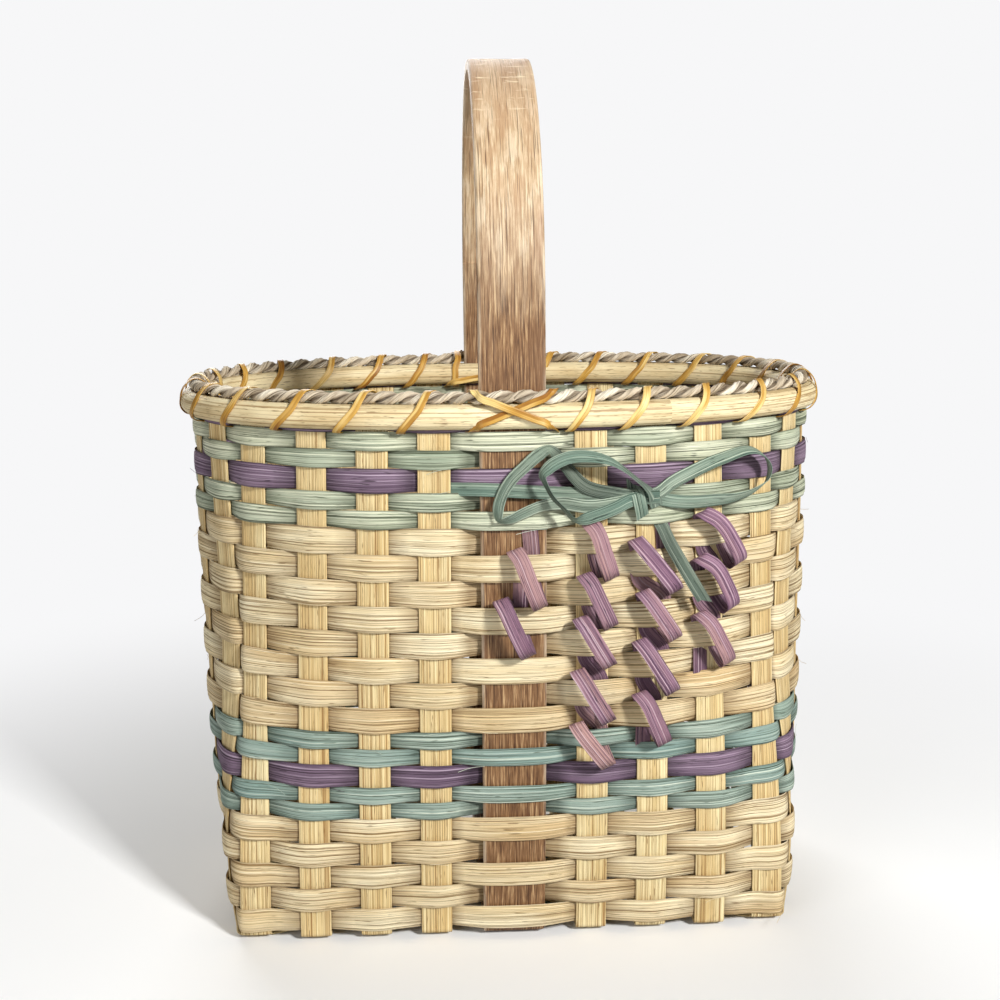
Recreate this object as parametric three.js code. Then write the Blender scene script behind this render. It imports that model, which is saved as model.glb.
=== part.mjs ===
// Divided splint basket. Flat reed stakes cross in the base and turn up into the wall, closed rows
// of reed are woven over one and under one, and a bent oak hoop runs under the base and over the
// top. The rim is two half round reeds with a seagrass rope between them, lashed with cane.
// Units are millimetres: X to the right, Y to the back, Z up, the base resting on Z = 0.
import * as THREE from 'three';

// Fit between pieces
const CLEAR = 0.3;

// Stakes and base
const STAKE_WIDTH = 15.9;
const STAKE_THICK = 1.2;
const STAKES_BESIDE_HANDLE = 4;
const SIDE_STAKES_FROM_CENTRE = 2;
const BASE_GAP = 15.6;
const BASE_GAP_AT_HANDLE = 16.5;
const BASE_END_EDGE = 4;
const BASE_SIDE_EDGE = 9;
const BASE_BEND = 4;
const BASE_TURN = 2.6;

// Handle hoop
const HANDLE_WIDTH = 32;
const HANDLE_THICK = 4;
const GRIP_THICK = 6;
const HANDLE_EDGE_ROUND = 1.1;
const HANDLE_TOP = 452;
const ARCH_START = 332;

// Wall shape
const RIM_HALF_WIDTH = 162.5;
const RIM_HALF_DEPTH = 106;
const BELLY = 1;
const FLARE_POWER = 3;
const BASE_CORNER_POWER = 10;
const RIM_CORNER_POWER = 2.3;
// At the rim the stakes spread evenly from the handle to these distances from the rim's ends
const RIM_GAP_AT_HANDLE = 13.5;
const RIM_END_ROOM = 36.55;
const RIM_SIDE_ROOM = 52;
const TWIST_SHARE = 0.4;
const TWIST_ROOM = 0.3;
// Uprights bend only between rows: above these rows, and above every row low down at the corners
const BEND_ROWS = [23, 22, 20, 17, 14, 10, 5];
const CORNER_ROWS = 15;
// Beside a narrower gap than this a row lies flat on both edges of a stake that it passes inside
const NARROW_GAP = 10;

// Woven rows: the natural ones are the widest, then the plum, and the green the narrowest
const WEAVER_THICK = 0.9;
const WIDE_ROW = 12.8;
const MIDDLE_ROW = 11.5;
const NARROW_ROW = 8.6;
const ROW_GAP = 0.3;
const ROW_COUNT = 23;
const PLUM_ROWS = [0, 3, 16];
const GREEN_ROWS = [1, 2, 4, 5, 14, 15, 17, 18];

// Rim, rope and lashing
const RIM_HEIGHT = 12.2;
const RIM_THICK = 5.5;
const RIM_INNER_FACE = 2.3;
const RIM_OVER_ROWS = 1.3;
const ROPE_RADIUS = 3.25;
const ROPE_SIDES = 6;
const CANE_WIDTH = 3.7;
const CANE_THICK = 0.5;
const CANE_CLEAR = 0.65;

// Curls and bow
const CURL_WIDTH = 7;
const CURL_THICK = 0.5;
const CURL_SIDE_STEP = 4.2;
const CURL_REACH = 10.5;
const CURL_TILT = 0.6;
const CURL_HEAD = 7;
const CURL_END = 8;
const BOW_WIDTH = 6.35;
const BOW_THICK = 0.4;

// Divider panel
const PANEL_STAKE_WIDTH = 12.7;
const PANEL_STAKE_THICK = 1;
const PANEL_WEAVER_THICK = 0.8;
const PANEL_ROWS = 10;
const PANEL_POST_RADIUS = 2;
const PANEL_RAIL = { row: 7 };

// Sizes that follow from the driving ones
const BASE_PITCH = STAKE_WIDTH + BASE_GAP;
const FIRST_STAKE = HANDLE_WIDTH / 2 + BASE_GAP_AT_HANDLE + STAKE_WIDTH / 2;
const RIM_FIRST_STAKE = HANDLE_WIDTH / 2 + RIM_GAP_AT_HANDLE + STAKE_WIDTH / 2;
const RIM_SPREAD = RIM_HALF_WIDTH - RIM_END_ROOM - RIM_FIRST_STAKE;
const RIM_PITCH = RIM_SPREAD / (STAKES_BESIDE_HANDLE - 1);
const RIM_SIDE_PITCH = (RIM_HALF_DEPTH - RIM_SIDE_ROOM) / SIDE_STAKES_FROM_CENTRE;
const LAST_STAKE = FIRST_STAKE + (STAKES_BESIDE_HANDLE - 1) * BASE_PITCH;
const BASE_HALF_WIDTH = LAST_STAKE + STAKE_WIDTH / 2 + BASE_END_EDGE;
const BASE_HALF_DEPTH = SIDE_STAKES_FROM_CENTRE * BASE_PITCH + STAKE_WIDTH / 2 + BASE_SIDE_EDGE;
const STAKE_Z = STAKE_THICK * 1.5 + CLEAR;
const HANDLE_Z = STAKE_THICK + CLEAR + HANDLE_THICK / 2;
const WALL_FOOT = STAKE_Z + BASE_BEND;
const ROWS = listRows();
const RIM_BOTTOM = ROWS[1].high + RIM_OVER_ROWS;
const RIM_TOP = RIM_BOTTOM + RIM_HEIGHT;
const STAKE_TOP = RIM_TOP - 1;
const QUARTER = STAKES_BESIDE_HANDLE + SIDE_STAKES_FROM_CENTRE + 1;
const UPRIGHT_COUNT = QUARTER * 4;
const BACK = QUARTER * 2;
const UPRIGHTS = listUprights();

const UP = new THREE.Vector3(0, 0, 1);
const group = new THREE.Group();
group.name = 'divided_splint_basket';

// Rows run from 1 under the rim down to the base; row 0 is the false rim hidden between the rims.
function listRows() {
  const rows = [];
  let low = WALL_FOOT - 0.5;
  for (let row = ROW_COUNT; row >= 1; row -= 1) {
    let height = PLUM_ROWS.includes(row) ? MIDDLE_ROW : WIDE_ROW;
    if (GREEN_ROWS.includes(row)) {
      height = NARROW_ROW;
    }
    rows[row] = { low, high: low + height };
    low += height + ROW_GAP;
  }
  const rimBottom = rows[1].high + RIM_OVER_ROWS;
  rows[0] = { low: rimBottom + 0.6, high: rimBottom + RIM_HEIGHT - 1.6 };
  return rows;
}

function mix(a, b, share) {
  return a + (b - a) * share;
}

function heightShare(z) {
  const share = (z - WALL_FOOT) / (RIM_TOP - WALL_FOOT);
  return Math.min(1, Math.max(0, share));
}

// The wall's outline at a height: half width, half depth and how square its corners are.
function outlineAt(z) {
  const h = heightShare(z);
  const flare = (1 - h) ** FLARE_POWER;
  return {
    a: mix(RIM_HALF_WIDTH, BASE_HALF_WIDTH, flare) + BELLY * Math.sin(Math.PI * h),
    b: mix(RIM_HALF_DEPTH, BASE_HALF_DEPTH, (1 - h) ** 2.2),
    n: mix(RIM_CORNER_POWER, BASE_CORNER_POWER, (1 - h) ** 5),
  };
}

// Place, sideways direction and outward direction of one upright's middle at a height.
function wallFrame(upright, z) {
  const { a, b, n } = outlineAt(z);
  const h = heightShare(z);
  const along = mix(upright.base, upright.rim, h);
  const [half, other] = upright.facesY ? [a, b] : [b, a];
  const across = upright.sign * other * (1 - Math.abs(along / half) ** n) ** (1 / n);
  const [x, y] = upright.facesY ? [along, across] : [across, along];
  const slope = (v, size) => Math.sign(v) * Math.abs(v / size) ** (n - 1) / size;
  const wallNormal = new THREE.Vector3(slope(x, a), slope(y, b), 0).normalize();
  const baseNormal = new THREE.Vector3(0, 0, 0);
  baseNormal.setComponent(upright.facesY ? 1 : 0, upright.sign);
  const normal = baseNormal.lerp(wallNormal, Math.min(1, h / TWIST_SHARE)).normalize();
  return {
    z,
    place: new THREE.Vector3(x, y, z),
    side: new THREE.Vector3(-normal.y, normal.x, 0),
    normal,
  };
}

// All uprights in order round the wall, from the handle's front leg to the right.
function listUprights() {
  const list = [];
  for (let index = 0; index < UPRIGHT_COUNT; index += 1) {
    const front = Math.min(index, UPRIGHT_COUNT - index);
    const fromHandle = Math.min(front, BACK - front);
    const isHandle = fromHandle === 0;
    const facesY = fromHandle <= STAKES_BESIDE_HANDLE;
    const right = index <= BACK ? 1 : -1;
    const rear = front > BACK / 2 ? 1 : -1;
    const step = facesY ? fromHandle - 1 : QUARTER - fromHandle;
    const upright = {
      facesY,
      isHandle,
      sign: facesY ? rear : right,
      width: isHandle ? HANDLE_WIDTH : STAKE_WIDTH,
      thick: isHandle ? HANDLE_THICK : STAKE_THICK,
      base: facesY ? right * (FIRST_STAKE + step * BASE_PITCH) : rear * step * BASE_PITCH,
      rim: facesY ? right * (RIM_FIRST_STAKE + step * RIM_PITCH) : rear * step * RIM_SIDE_PITCH,
    };
    if (isHandle) {
      upright.base = 0;
      upright.rim = 0;
    }
    const fromCorner = Math.abs(fromHandle - STAKES_BESIDE_HANDLE - 0.5);
    upright.corner = fromCorner < 1;
    upright.twists = fromCorner < 3;
    upright.frames = [wallFrame(upright, WALL_FOOT)];
    for (let row = ROW_COUNT; row >= 1; row -= 1) {
      const bends = BEND_ROWS.includes(row) || (upright.corner && row >= CORNER_ROWS);
      if (bends) {
        upright.frames.push(wallFrame(upright, ROWS[row].high + ROW_GAP / 2));
      }
    }
    upright.frames.push(wallFrame(upright, RIM_TOP));
    list.push(upright);
  }
  return list;
}

function uprightAt(index) {
  return UPRIGHTS[((index % UPRIGHT_COUNT) + UPRIGHT_COUNT) % UPRIGHT_COUNT];
}

// A point on an upright: sideways from its middle, at a height, and out from its middle surface.
function onUpright(index, sideways, z, out) {
  const frames = uprightAt(index).frames;
  let k = 1;
  while (k < frames.length - 1 && frames[k].z < z) {
    k += 1;
  }
  const share = (z - frames[k - 1].z) / (frames[k].z - frames[k - 1].z);
  const ends = [frames[k - 1], frames[k]].map((frame) => frame.place.clone()
    .addScaledVector(frame.side, sideways)
    .addScaledVector(frame.normal, out));
  return ends[0].lerp(ends[1], share);
}

// A point round the wall: whole numbers are the uprights' middles, a quarter to each side is an
// upright's edge, and the rest is the open gap between two uprights.
function onRing(turn, z, out) {
  const index = Math.round(turn);
  const part = turn - index;
  const width = uprightAt(index).width;
  if (Math.abs(part) <= 0.25) {
    return onUpright(index, part * 2 * width, z, out);
  }
  const way = Math.sign(part);
  const near = onUpright(index, way * width / 2, z, out);
  const far = onUpright(index + way, -way * uprightAt(index + way).width / 2, z, out);
  return near.lerp(far, (Math.abs(part) - 0.25) * 2);
}

function ringSide(turn, z) {
  return onRing(turn + 0.02, z, 0).sub(onRing(turn - 0.02, z, 0)).normalize();
}

// The place round the front wall, in turns, of a distance to the right of the handle's middle.
function frontTurn(x, z) {
  let turn = -STAKES_BESIDE_HANDLE;
  while (onRing(turn, z, 0).x < x) {
    turn += 0.01;
  }
  return turn;
}

// Joins rings of points into one closed body, capped at its ends unless it closes on itself. The
// front and back of a strip that twists split along the same diagonal, so that it stays as thick.
function sweep(name, rings, closed, material, twists = false) {
  const sides = rings[0].length;
  const points = rings.flat().flatMap((point) => [point.x, point.y, point.z]);
  const faces = [];
  const spans = closed ? rings.length : rings.length - 1;
  for (let r = 0; r < spans; r += 1) {
    const here = r * sides;
    const next = ((r + 1) % rings.length) * sides;
    for (let s = 0; s < sides; s += 1) {
      const t = (s + 1) % sides;
      const [a, b] = twists && s >= sides / 2 ? [t, s] : [s, t];
      faces.push(here + s, here + t, next + b);
      faces.push(next + t, next + s, here + a);
    }
  }
  if (!closed) {
    const last = (rings.length - 1) * sides;
    for (let s = 1; s < sides - 1; s += 1) {
      faces.push(0, s + 1, s);
      faces.push(last, last + s, last + s + 1);
    }
  }
  const geometry = new THREE.BufferGeometry();
  geometry.setAttribute('position', new THREE.Float32BufferAttribute(points, 3));
  geometry.setIndex(signedVolume(rings.flat(), faces) < 0 ? faces.slice().reverse() : faces);
  geometry.computeVertexNormals();
  const mesh = new THREE.Mesh(geometry, material);
  mesh.name = name;
  group.add(mesh);
  return mesh;
}

function signedVolume(points, faces) {
  let sum = 0;
  for (let f = 0; f < faces.length; f += 3) {
    const [a, b, c] = [points[faces[f]], points[faces[f + 1]], points[faces[f + 2]]];
    sum += a.dot(b.clone().cross(c));
  }
  return sum / 6;
}

function slab(place, across, outward, width, thick) {
  const corners = [[-1, 1], [1, 1], [1, -1], [-1, -1]];
  return corners.map(([w, t]) => place.clone()
    .addScaledVector(across, w * width / 2)
    .addScaledVector(outward, t * thick / 2));
}

// Rings of a flat strip along a route; each step's lean is the way its width points.
function stripRings(route, width, thick) {
  return route.map((step, index) => {
    const before = route[Math.max(0, index - 1)].place;
    const after = route[Math.min(route.length - 1, index + 1)].place;
    const heading = after.clone().sub(before).normalize();
    const across = step.lean.clone().addScaledVector(heading, -heading.dot(step.lean)).normalize();
    return slab(step.place, across, heading.clone().cross(across), width, thick);
  });
}

// Least gap of a wound strip to itself, measured on points spread over its middle surface.
function leastSelfGap(rings, thick, skipRings) {
  const samples = [];
  for (let r = 0; r < rings.length - 1; r += 1) {
    for (let along = 0; along < 1; along += 0.2) {
      for (let over = 0; over <= 1; over += 0.25) {
        const point = new THREE.Vector3();
        point.addScaledVector(rings[r][0], (1 - along) * (1 - over) / 2);
        point.addScaledVector(rings[r][3], (1 - along) * (1 - over) / 2);
        point.addScaledVector(rings[r][1], (1 - along) * over / 2);
        point.addScaledVector(rings[r][2], (1 - along) * over / 2);
        point.addScaledVector(rings[r + 1][0], along * (1 - over) / 2);
        point.addScaledVector(rings[r + 1][3], along * (1 - over) / 2);
        point.addScaledVector(rings[r + 1][1], along * over / 2);
        point.addScaledVector(rings[r + 1][2], along * over / 2);
        samples.push({ point, r });
      }
    }
  }
  let least = Infinity;
  for (let i = 0; i < samples.length; i += 1) {
    for (let j = i + 1; j < samples.length; j += 1) {
      if (samples[j].r - samples[i].r > skipRings) {
        least = Math.min(least, samples[i].point.distanceTo(samples[j].point) - thick);
      }
    }
  }
  return least;
}

function reed(colour) {
  return new THREE.MeshStandardMaterial({ color: colour, roughness: 0.75 });
}
const naturalReed = reed(0xd9bd85);
const stakeReed = reed(0xdcc384);
const greenReed = reed(0x7d9a86);
const plumReed = reed(0x6d5068);
const curlReed = reed(0x9a6f86);
const bowReed = reed(0x577a67);
const rimReed = reed(0xd8bb84);
const seagrass = reed(0xa39378);
const cane = new THREE.MeshStandardMaterial({ color: 0xc89440, roughness: 0.4 });
const oak = new THREE.MeshStandardMaterial({ color: 0x8f6238, roughness: 0.6 });

// Curls: which upright each column stands on and which rows it curls over, top to bottom.
const CURL_COLUMNS = [
  { upright: 0, rows: [7, 9] },
  { upright: 1, rows: [6, 8, 10, 12, 14] },
  { upright: 2, rows: [7, 9, 11, 13] },
  { upright: 3, rows: [6, 8, 10] },
];
const BOW = { upright: 2, row: 4 };

// How much further a row stands off an upright because a strip is tucked behind it.
function tuckUnder(row, index) {
  const place = ((index % UPRIGHT_COUNT) + UPRIGHT_COUNT) % UPRIGHT_COUNT;
  const curls = CURL_COLUMNS.some((column) => column.upright === place && column.rows.includes(row));
  if (curls) {
    return CURL_THICK + CLEAR + 0.1;
  }
  if (place === BOW.upright && Math.abs(row - BOW.row) === 1) {
    return BOW_THICK + CLEAR;
  }
  if (place === UPRIGHT_COUNT - 1 && row === BOW.row - 1) {
    return BOW_THICK + CLEAR;
  }
  return 0;
}

function passesOutside(row, index) {
  return (row + index + UPRIGHT_COUNT) % 2 === 1;
}

// How far a row's middle stands from an upright's middle where they cross.
function rowOffset(row, index) {
  const upright = uprightAt(index);
  const room = upright.twists && row > PANEL_RAIL.row ? TWIST_ROOM : 0;
  const near = upright.thick / 2 + CLEAR + room + WEAVER_THICK / 2;
  return (near + tuckUnder(row, index)) * (passesOutside(row, index) ? 1 : -1);
}

// A row is one closed ring. It bears on both edges of the uprights it passes outside. Inside a
// stake it bows to one point, far enough in to clear both of the stake's edges.
function weaveRow(row) {
  const { low, high } = ROWS[row];
  const middle = (low + high) / 2;
  const stops = [];
  for (let index = 0; index < UPRIGHT_COUNT; index += 1) {
    const offset = rowOffset(row, index);
    const half = uprightAt(index).width / 2;
    let bow = 0;
    let narrow = Infinity;
    for (const way of [-1, 1]) {
      const edge = onRing(index + way * 0.25, middle, 0);
      const gap = edge.distanceTo(onRing(index + way * 0.75, middle, 0));
      const share = half / (half + gap);
      const beside = Math.abs(rowOffset(row, index + way));
      bow = Math.min(bow, (offset - share * beside) / (1 - share));
      narrow = Math.min(narrow, gap);
    }
    const upright = uprightAt(index);
    const tucked = tuckUnder(row, index) > 0;
    const flat = row === 0 || upright.isHandle || upright.corner || tucked || narrow < NARROW_GAP;
    if (passesOutside(row, index) || flat) {
      stops.push([index - 0.25, offset], [index + 0.25, offset]);
    } else {
      stops.push([index, bow]);
    }
  }
  const rings = stops.map(([turn, offset]) => [
    onRing(turn, low, offset - WEAVER_THICK / 2),
    onRing(turn, low, offset + WEAVER_THICK / 2),
    onRing(turn, high, offset + WEAVER_THICK / 2),
    onRing(turn, high, offset - WEAVER_THICK / 2),
  ]);
  let material = naturalReed;
  if (PLUM_ROWS.includes(row)) {
    material = plumReed;
  }
  if (GREEN_ROWS.includes(row)) {
    material = greenReed;
  }
  sweep(`weaver_row_${String(row).padStart(2, '0')}`, rings, true, material);
}
for (let row = 0; row <= ROW_COUNT; row += 1) {
  weaveRow(row);
}

// Rings of a stake's wall part, from its top down, and of the bend into the base.
function wallRings(index, baseZ, way) {
  const upright = uprightAt(index);
  const radius = Math.min(WALL_FOOT - baseZ, BASE_TURN);
  const rings = upright.frames.slice().reverse().map((frame) => {
    const z = frame.z > WALL_FOOT ? Math.min(frame.z, STAKE_TOP) : baseZ + radius;
    const across = frame.side.clone().multiplyScalar(way);
    return slab(onUpright(index, 0, z, 0), across, frame.normal, STAKE_WIDTH, STAKE_THICK);
  });
  const foot = upright.frames[0];
  const centre = onUpright(index, 0, baseZ + radius, 0).addScaledVector(foot.normal, -radius);
  for (const angle of [45, 90]) {
    const turn = THREE.MathUtils.degToRad(angle);
    const outward = foot.normal.clone().multiplyScalar(Math.cos(turn));
    outward.addScaledVector(UP, -Math.sin(turn));
    const place = centre.clone().addScaledVector(outward, radius);
    rings.push(slab(place, foot.side.clone().multiplyScalar(way), outward, STAKE_WIDTH, STAKE_THICK));
  }
  return rings;
}

// Stakes that run from front to back under the basket lie flat and straight in the base.
for (const right of [1, -1]) {
  for (let step = 1; step <= STAKES_BESIDE_HANDLE; step += 1) {
    const front = wallRings(right * step, STAKE_Z, 1);
    const back = wallRings(BACK - right * step, STAKE_Z, -1).reverse();
    const side = right > 0 ? 'right' : 'left';
    sweep(`stake_${side}_${step}`, [...front, ...back], false, stakeReed);
  }
}

// Stakes that run from side to side pass under and over the others in the base.
for (let lane = -SIDE_STAKES_FROM_CENTRE; lane <= SIDE_STAKES_FROM_CENTRE; lane += 1) {
  const crossings = [];
  for (let step = STAKES_BESIDE_HANDLE; step >= -STAKES_BESIDE_HANDLE; step -= 1) {
    const onHandle = step === 0;
    const under = (step + lane) % 2 === 0;
    const top = onHandle ? HANDLE_Z + HANDLE_THICK / 2 : STAKE_Z + STAKE_THICK / 2;
    const z = under ? STAKE_THICK / 2 : top + CLEAR + STAKE_THICK / 2;
    const half = (onHandle ? HANDLE_WIDTH : STAKE_WIDTH) / 2;
    const x = Math.sign(step) * (FIRST_STAKE + (Math.abs(step) - 1) * BASE_PITCH) * (onHandle ? 0 : 1);
    crossings.push([x + half, z], [x - half, z]);
  }
  const lastZ = crossings[0][1];
  const right = wallRings(BACK / 2 + lane, lastZ, 1);
  const left = wallRings(BACK * 1.5 - lane, lastZ, -1).reverse();
  const across = new THREE.Vector3(0, 1, 0);
  const down = new THREE.Vector3(0, 0, -1);
  const base = crossings.map(([x, z]) => {
    const place = new THREE.Vector3(x, lane * BASE_PITCH, z);
    return slab(place, across, down, STAKE_WIDTH, STAKE_THICK);
  });
  sweep(`cross_stake_${lane + SIDE_STAKES_FROM_CENTRE + 1}`, [...right, ...base, ...left], false, stakeReed);
}

// The handle hoop is one closed bent board: under the base, up both walls and over the arch.
function makeHandle() {
  const side = [];
  const legs = uprightAt(0).frames;
  const inBase = -legs[0].place.y - (WALL_FOOT - HANDLE_Z);
  side.push({ y: -inBase, z: HANDLE_Z, out: new THREE.Vector3(0, 0, -1), thick: HANDLE_THICK });
  for (const angle of [60, 30]) {
    const turn = THREE.MathUtils.degToRad(angle);
    const out = new THREE.Vector3(0, -Math.cos(turn), -Math.sin(turn));
    const radius = WALL_FOOT - HANDLE_Z;
    side.push({
      y: -inBase + radius * out.y, z: WALL_FOOT + radius * out.z, out, thick: HANDLE_THICK,
    });
  }
  for (const frame of legs) {
    side.push({ y: frame.place.y, z: frame.z, out: new THREE.Vector3(0, -1, 0), thick: HANDLE_THICK });
  }
  const rimDepth = -legs[legs.length - 1].place.y;
  const rise = HANDLE_TOP - GRIP_THICK / 2 - ARCH_START;
  for (let step = 0; step < 9; step += 1) {
    const turn = step / 9 * Math.PI / 2;
    const out = new THREE.Vector3(0, -Math.cos(turn) * rise, Math.sin(turn) * rimDepth).normalize();
    const thick = mix(HANDLE_THICK, GRIP_THICK, Math.min(1, (step + 1) / 5));
    side.push({
      y: -rimDepth * Math.cos(turn), z: ARCH_START + rise * Math.sin(turn), out, thick,
    });
  }
  const top = {
    y: 0, z: HANDLE_TOP - GRIP_THICK / 2, out: UP.clone(), thick: GRIP_THICK,
  };
  const back = side.slice().reverse().map((step) => ({
    ...step, y: -step.y, out: new THREE.Vector3(0, -step.out.y, step.out.z),
  }));
  const half = HANDLE_WIDTH / 2;
  const rings = [...side, top, ...back].map(({ y, z, out, thick }) => {
    const round = HANDLE_EDGE_ROUND;
    const outline = [
      [-half, thick / 2 - round], [-half + round, thick / 2],
      [half - round, thick / 2], [half, thick / 2 - round],
      [half, round - thick / 2], [half - round, -thick / 2],
      [round - half, -thick / 2], [-half, round - thick / 2],
    ];
    return outline.map(([x, t]) => new THREE.Vector3(x, y, z).addScaledVector(out, t));
  });
  sweep('handle_hoop', rings, true, oak);
}
makeHandle();

// The inner rim steps in at the handle to leave room for the false rim row behind it.
function innerRimStep(turn) {
  const index = Math.round(turn / BACK) * BACK;
  const away = Math.abs(turn - index);
  const step = HANDLE_THICK / 2 + WEAVER_THICK + 2 * CLEAR - RIM_INNER_FACE;
  return step * Math.min(1, Math.max(0, (0.75 - away) * 2));
}

// The rope lies between the rims, and moves out to pass in front of the handle's legs.
function ropeMiddle(turn) {
  const index = Math.round(turn / BACK) * BACK;
  const away = Math.abs(turn - index);
  const share = Math.min(1, Math.max(0, (0.75 - away) / 0.48));
  const passing = HANDLE_THICK / 2 + CLEAR + ROPE_RADIUS;
  const settled = Math.sqrt((ROPE_RADIUS + CLEAR) ** 2 - RIM_INNER_FACE ** 2);
  return {
    out: passing * share,
    z: RIM_TOP + mix(settled, ROPE_RADIUS + CLEAR, share),
  };
}

// Both rims are half round reeds, flat towards the stakes.
function makeRim(name, way) {
  const chamfer = 2.2;
  const rings = [];
  for (let index = 0; index < UPRIGHT_COUNT; index += 1) {
    for (const turn of [index - 0.25, index + 0.25]) {
      const face = RIM_INNER_FACE + (way < 0 ? innerRimStep(turn) : 0);
      const outline = [
        [face, RIM_BOTTOM], [face + RIM_THICK - chamfer, RIM_BOTTOM],
        [face + RIM_THICK, RIM_BOTTOM + chamfer * 1.8], [face + RIM_THICK, RIM_TOP - chamfer * 1.8],
        [face + RIM_THICK - chamfer, RIM_TOP], [face, RIM_TOP],
      ];
      rings.push(outline.map(([out, z]) => onRing(turn, z, way * out)));
    }
  }
  sweep(name, rings, true, rimReed);
}
makeRim('rim_outer', 1);
makeRim('rim_inner', -1);

function makeRope() {
  const rings = [];
  for (let index = 0; index < UPRIGHT_COUNT; index += 1) {
    const reach = uprightAt(index).isHandle ? 0.27 : 0.25;
    for (const turn of [index - reach, index + reach]) {
      const { out, z } = ropeMiddle(turn);
      const ring = [];
      for (let s = 0; s < ROPE_SIDES; s += 1) {
        const angle = (s / ROPE_SIDES) * 2 * Math.PI;
        const reachOut = out + ROPE_RADIUS * Math.cos(angle);
        ring.push(onRing(turn, RIM_TOP, reachOut).setZ(z + ROPE_RADIUS * Math.sin(angle)));
      }
      rings.push(ring);
    }
  }
  sweep('rim_rope', rings, true, seagrass);
}
makeRope();

// The cane goes round rims and rope once in every gap. Its stations round the rim are named from
// the bottom on the outside, over the top, to the bottom on the inside.
function caneStation(turn, station, lift) {
  const rope = ropeMiddle(turn);
  const face = RIM_INNER_FACE + RIM_THICK + CANE_CLEAR + CANE_THICK / 2;
  const inFace = face + innerRimStep(turn);
  const under = RIM_BOTTOM - 0.35 - CANE_THICK / 2;
  const over = rope.z + ROPE_RADIUS + CANE_CLEAR + CANE_THICK / 2;
  const places = {
    outBottom: [face - 0.3, under],
    outHigh: [face, RIM_TOP - 3.6],
    topOut: [rope.out + 2.6, over],
    topIn: [rope.out - 2.6, over],
    inTop: [1.6 - inFace, RIM_TOP + 1.2],
    inHigh: [-inFace, RIM_TOP - 3.6],
    inLow: [-inFace, RIM_BOTTOM + 3.2],
    inBottom: [0.3 - inFace, under],
  };
  const [out, z] = places[station];
  return canePoint(turn, z, out + Math.sign(out) * lift);
}

function canePoint(turn, z, out, lean = ringSide(turn, z)) {
  return { place: onRing(turn, z, out), lean };
}

// A strand crosses itself in front of a handle leg, then goes on round to the next leg.
function makeLashing(name, leg) {
  const route = [];
  const face = RIM_INNER_FACE + RIM_THICK + CANE_CLEAR + CANE_THICK / 2;
  const crossFace = HANDLE_THICK / 2 + CLEAR + 2 * ROPE_RADIUS + CANE_CLEAR + CANE_THICK / 2;
  const crossLift = CANE_THICK + CANE_CLEAR + 0.1;
  const firstSlot = 0.37;
  const secondSlot = 0.65;
  const rise = (share) => mix(RIM_BOTTOM + 1.5, RIM_TOP + 4, share);
  const add = (turn, station, lift = 0) => route.push(caneStation(leg + turn, station, lift));
  const slant = (turn, share, lift, lean) => {
    const out = mix(face, crossFace, Math.min(1, share * 1.6)) + lift;
    route.push(canePoint(leg + turn, rise(share), out, lean));
  };
  const down = UP.clone().negate();
  add(-0.5, 'inBottom');
  add(-0.5, 'outBottom');
  slant(-0.4, 0.1, 0, down);
  slant(-0.25, 0.25, 0, down);
  slant(0.25, 0.8, 0, down);
  slant(0.36, 1, 0, down);
  add(0.41, 'topOut');
  add(0.43, 'topIn');
  add(0.43, 'inTop');
  add(0.42, 'inHigh');
  add(0.39, 'inLow');
  add(firstSlot, 'inBottom');
  add(firstSlot, 'outBottom');
  slant(0.33, 0.1, 0, UP);
  slant(0.25, 0.2, 0.3, UP);
  slant(0.13, 0.4, crossLift, UP);
  slant(-0.13, 0.66, crossLift, UP);
  slant(-0.25, 0.8, 0.3, UP);
  slant(-0.36, 1, 0, UP);
  add(-0.41, 'topOut');
  add(-0.44, 'topIn');
  add(-0.44, 'inTop');
  add(-0.44, 'inHigh');
  const inside = face + innerRimStep(leg);
  const fall = (share) => mix(RIM_TOP - 3.6, RIM_BOTTOM + 3.2, share);
  route.push(canePoint(leg - 0.25, fall(0.15), -inside, UP));
  route.push(canePoint(leg + 0.22, fall(0.6), -inside - 0.4, UP));
  route.push(canePoint(leg + 0.3, fall(0.66), -inside - crossLift, UP));
  route.push(canePoint(leg + 0.48, fall(0.76), -inside - crossLift, UP));
  add(secondSlot - 0.01, 'inLow');
  add(secondSlot, 'inBottom');
  for (let lap = 0; lap < BACK - 1; lap += 1) {
    const start = lap === 0 ? secondSlot : lap + 0.5;
    const last = lap === BACK - 2;
    add(start, 'outBottom');
    add(mix(start, lap + 1.5, 0.3), 'outHigh');
    add(mix(start, lap + 1.5, 0.42), 'topOut');
    add(mix(start, lap + 1.5, 0.54), 'topIn');
    add(mix(start, lap + 1.5, 0.66), 'inHigh');
    add(mix(start, lap + 1.5, 0.98), last ? 'inLow' : 'inBottom');
  }
  const rings = stripRings(route, CANE_WIDTH, CANE_THICK);
  console.log(`${name}: least gap to itself ${leastSelfGap(rings, CANE_THICK, 6).toFixed(2)} mm`);
  sweep(name, rings, false, cane, true);
}
makeLashing('lashing_right', 0);
makeLashing('lashing_left', BACK);

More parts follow.
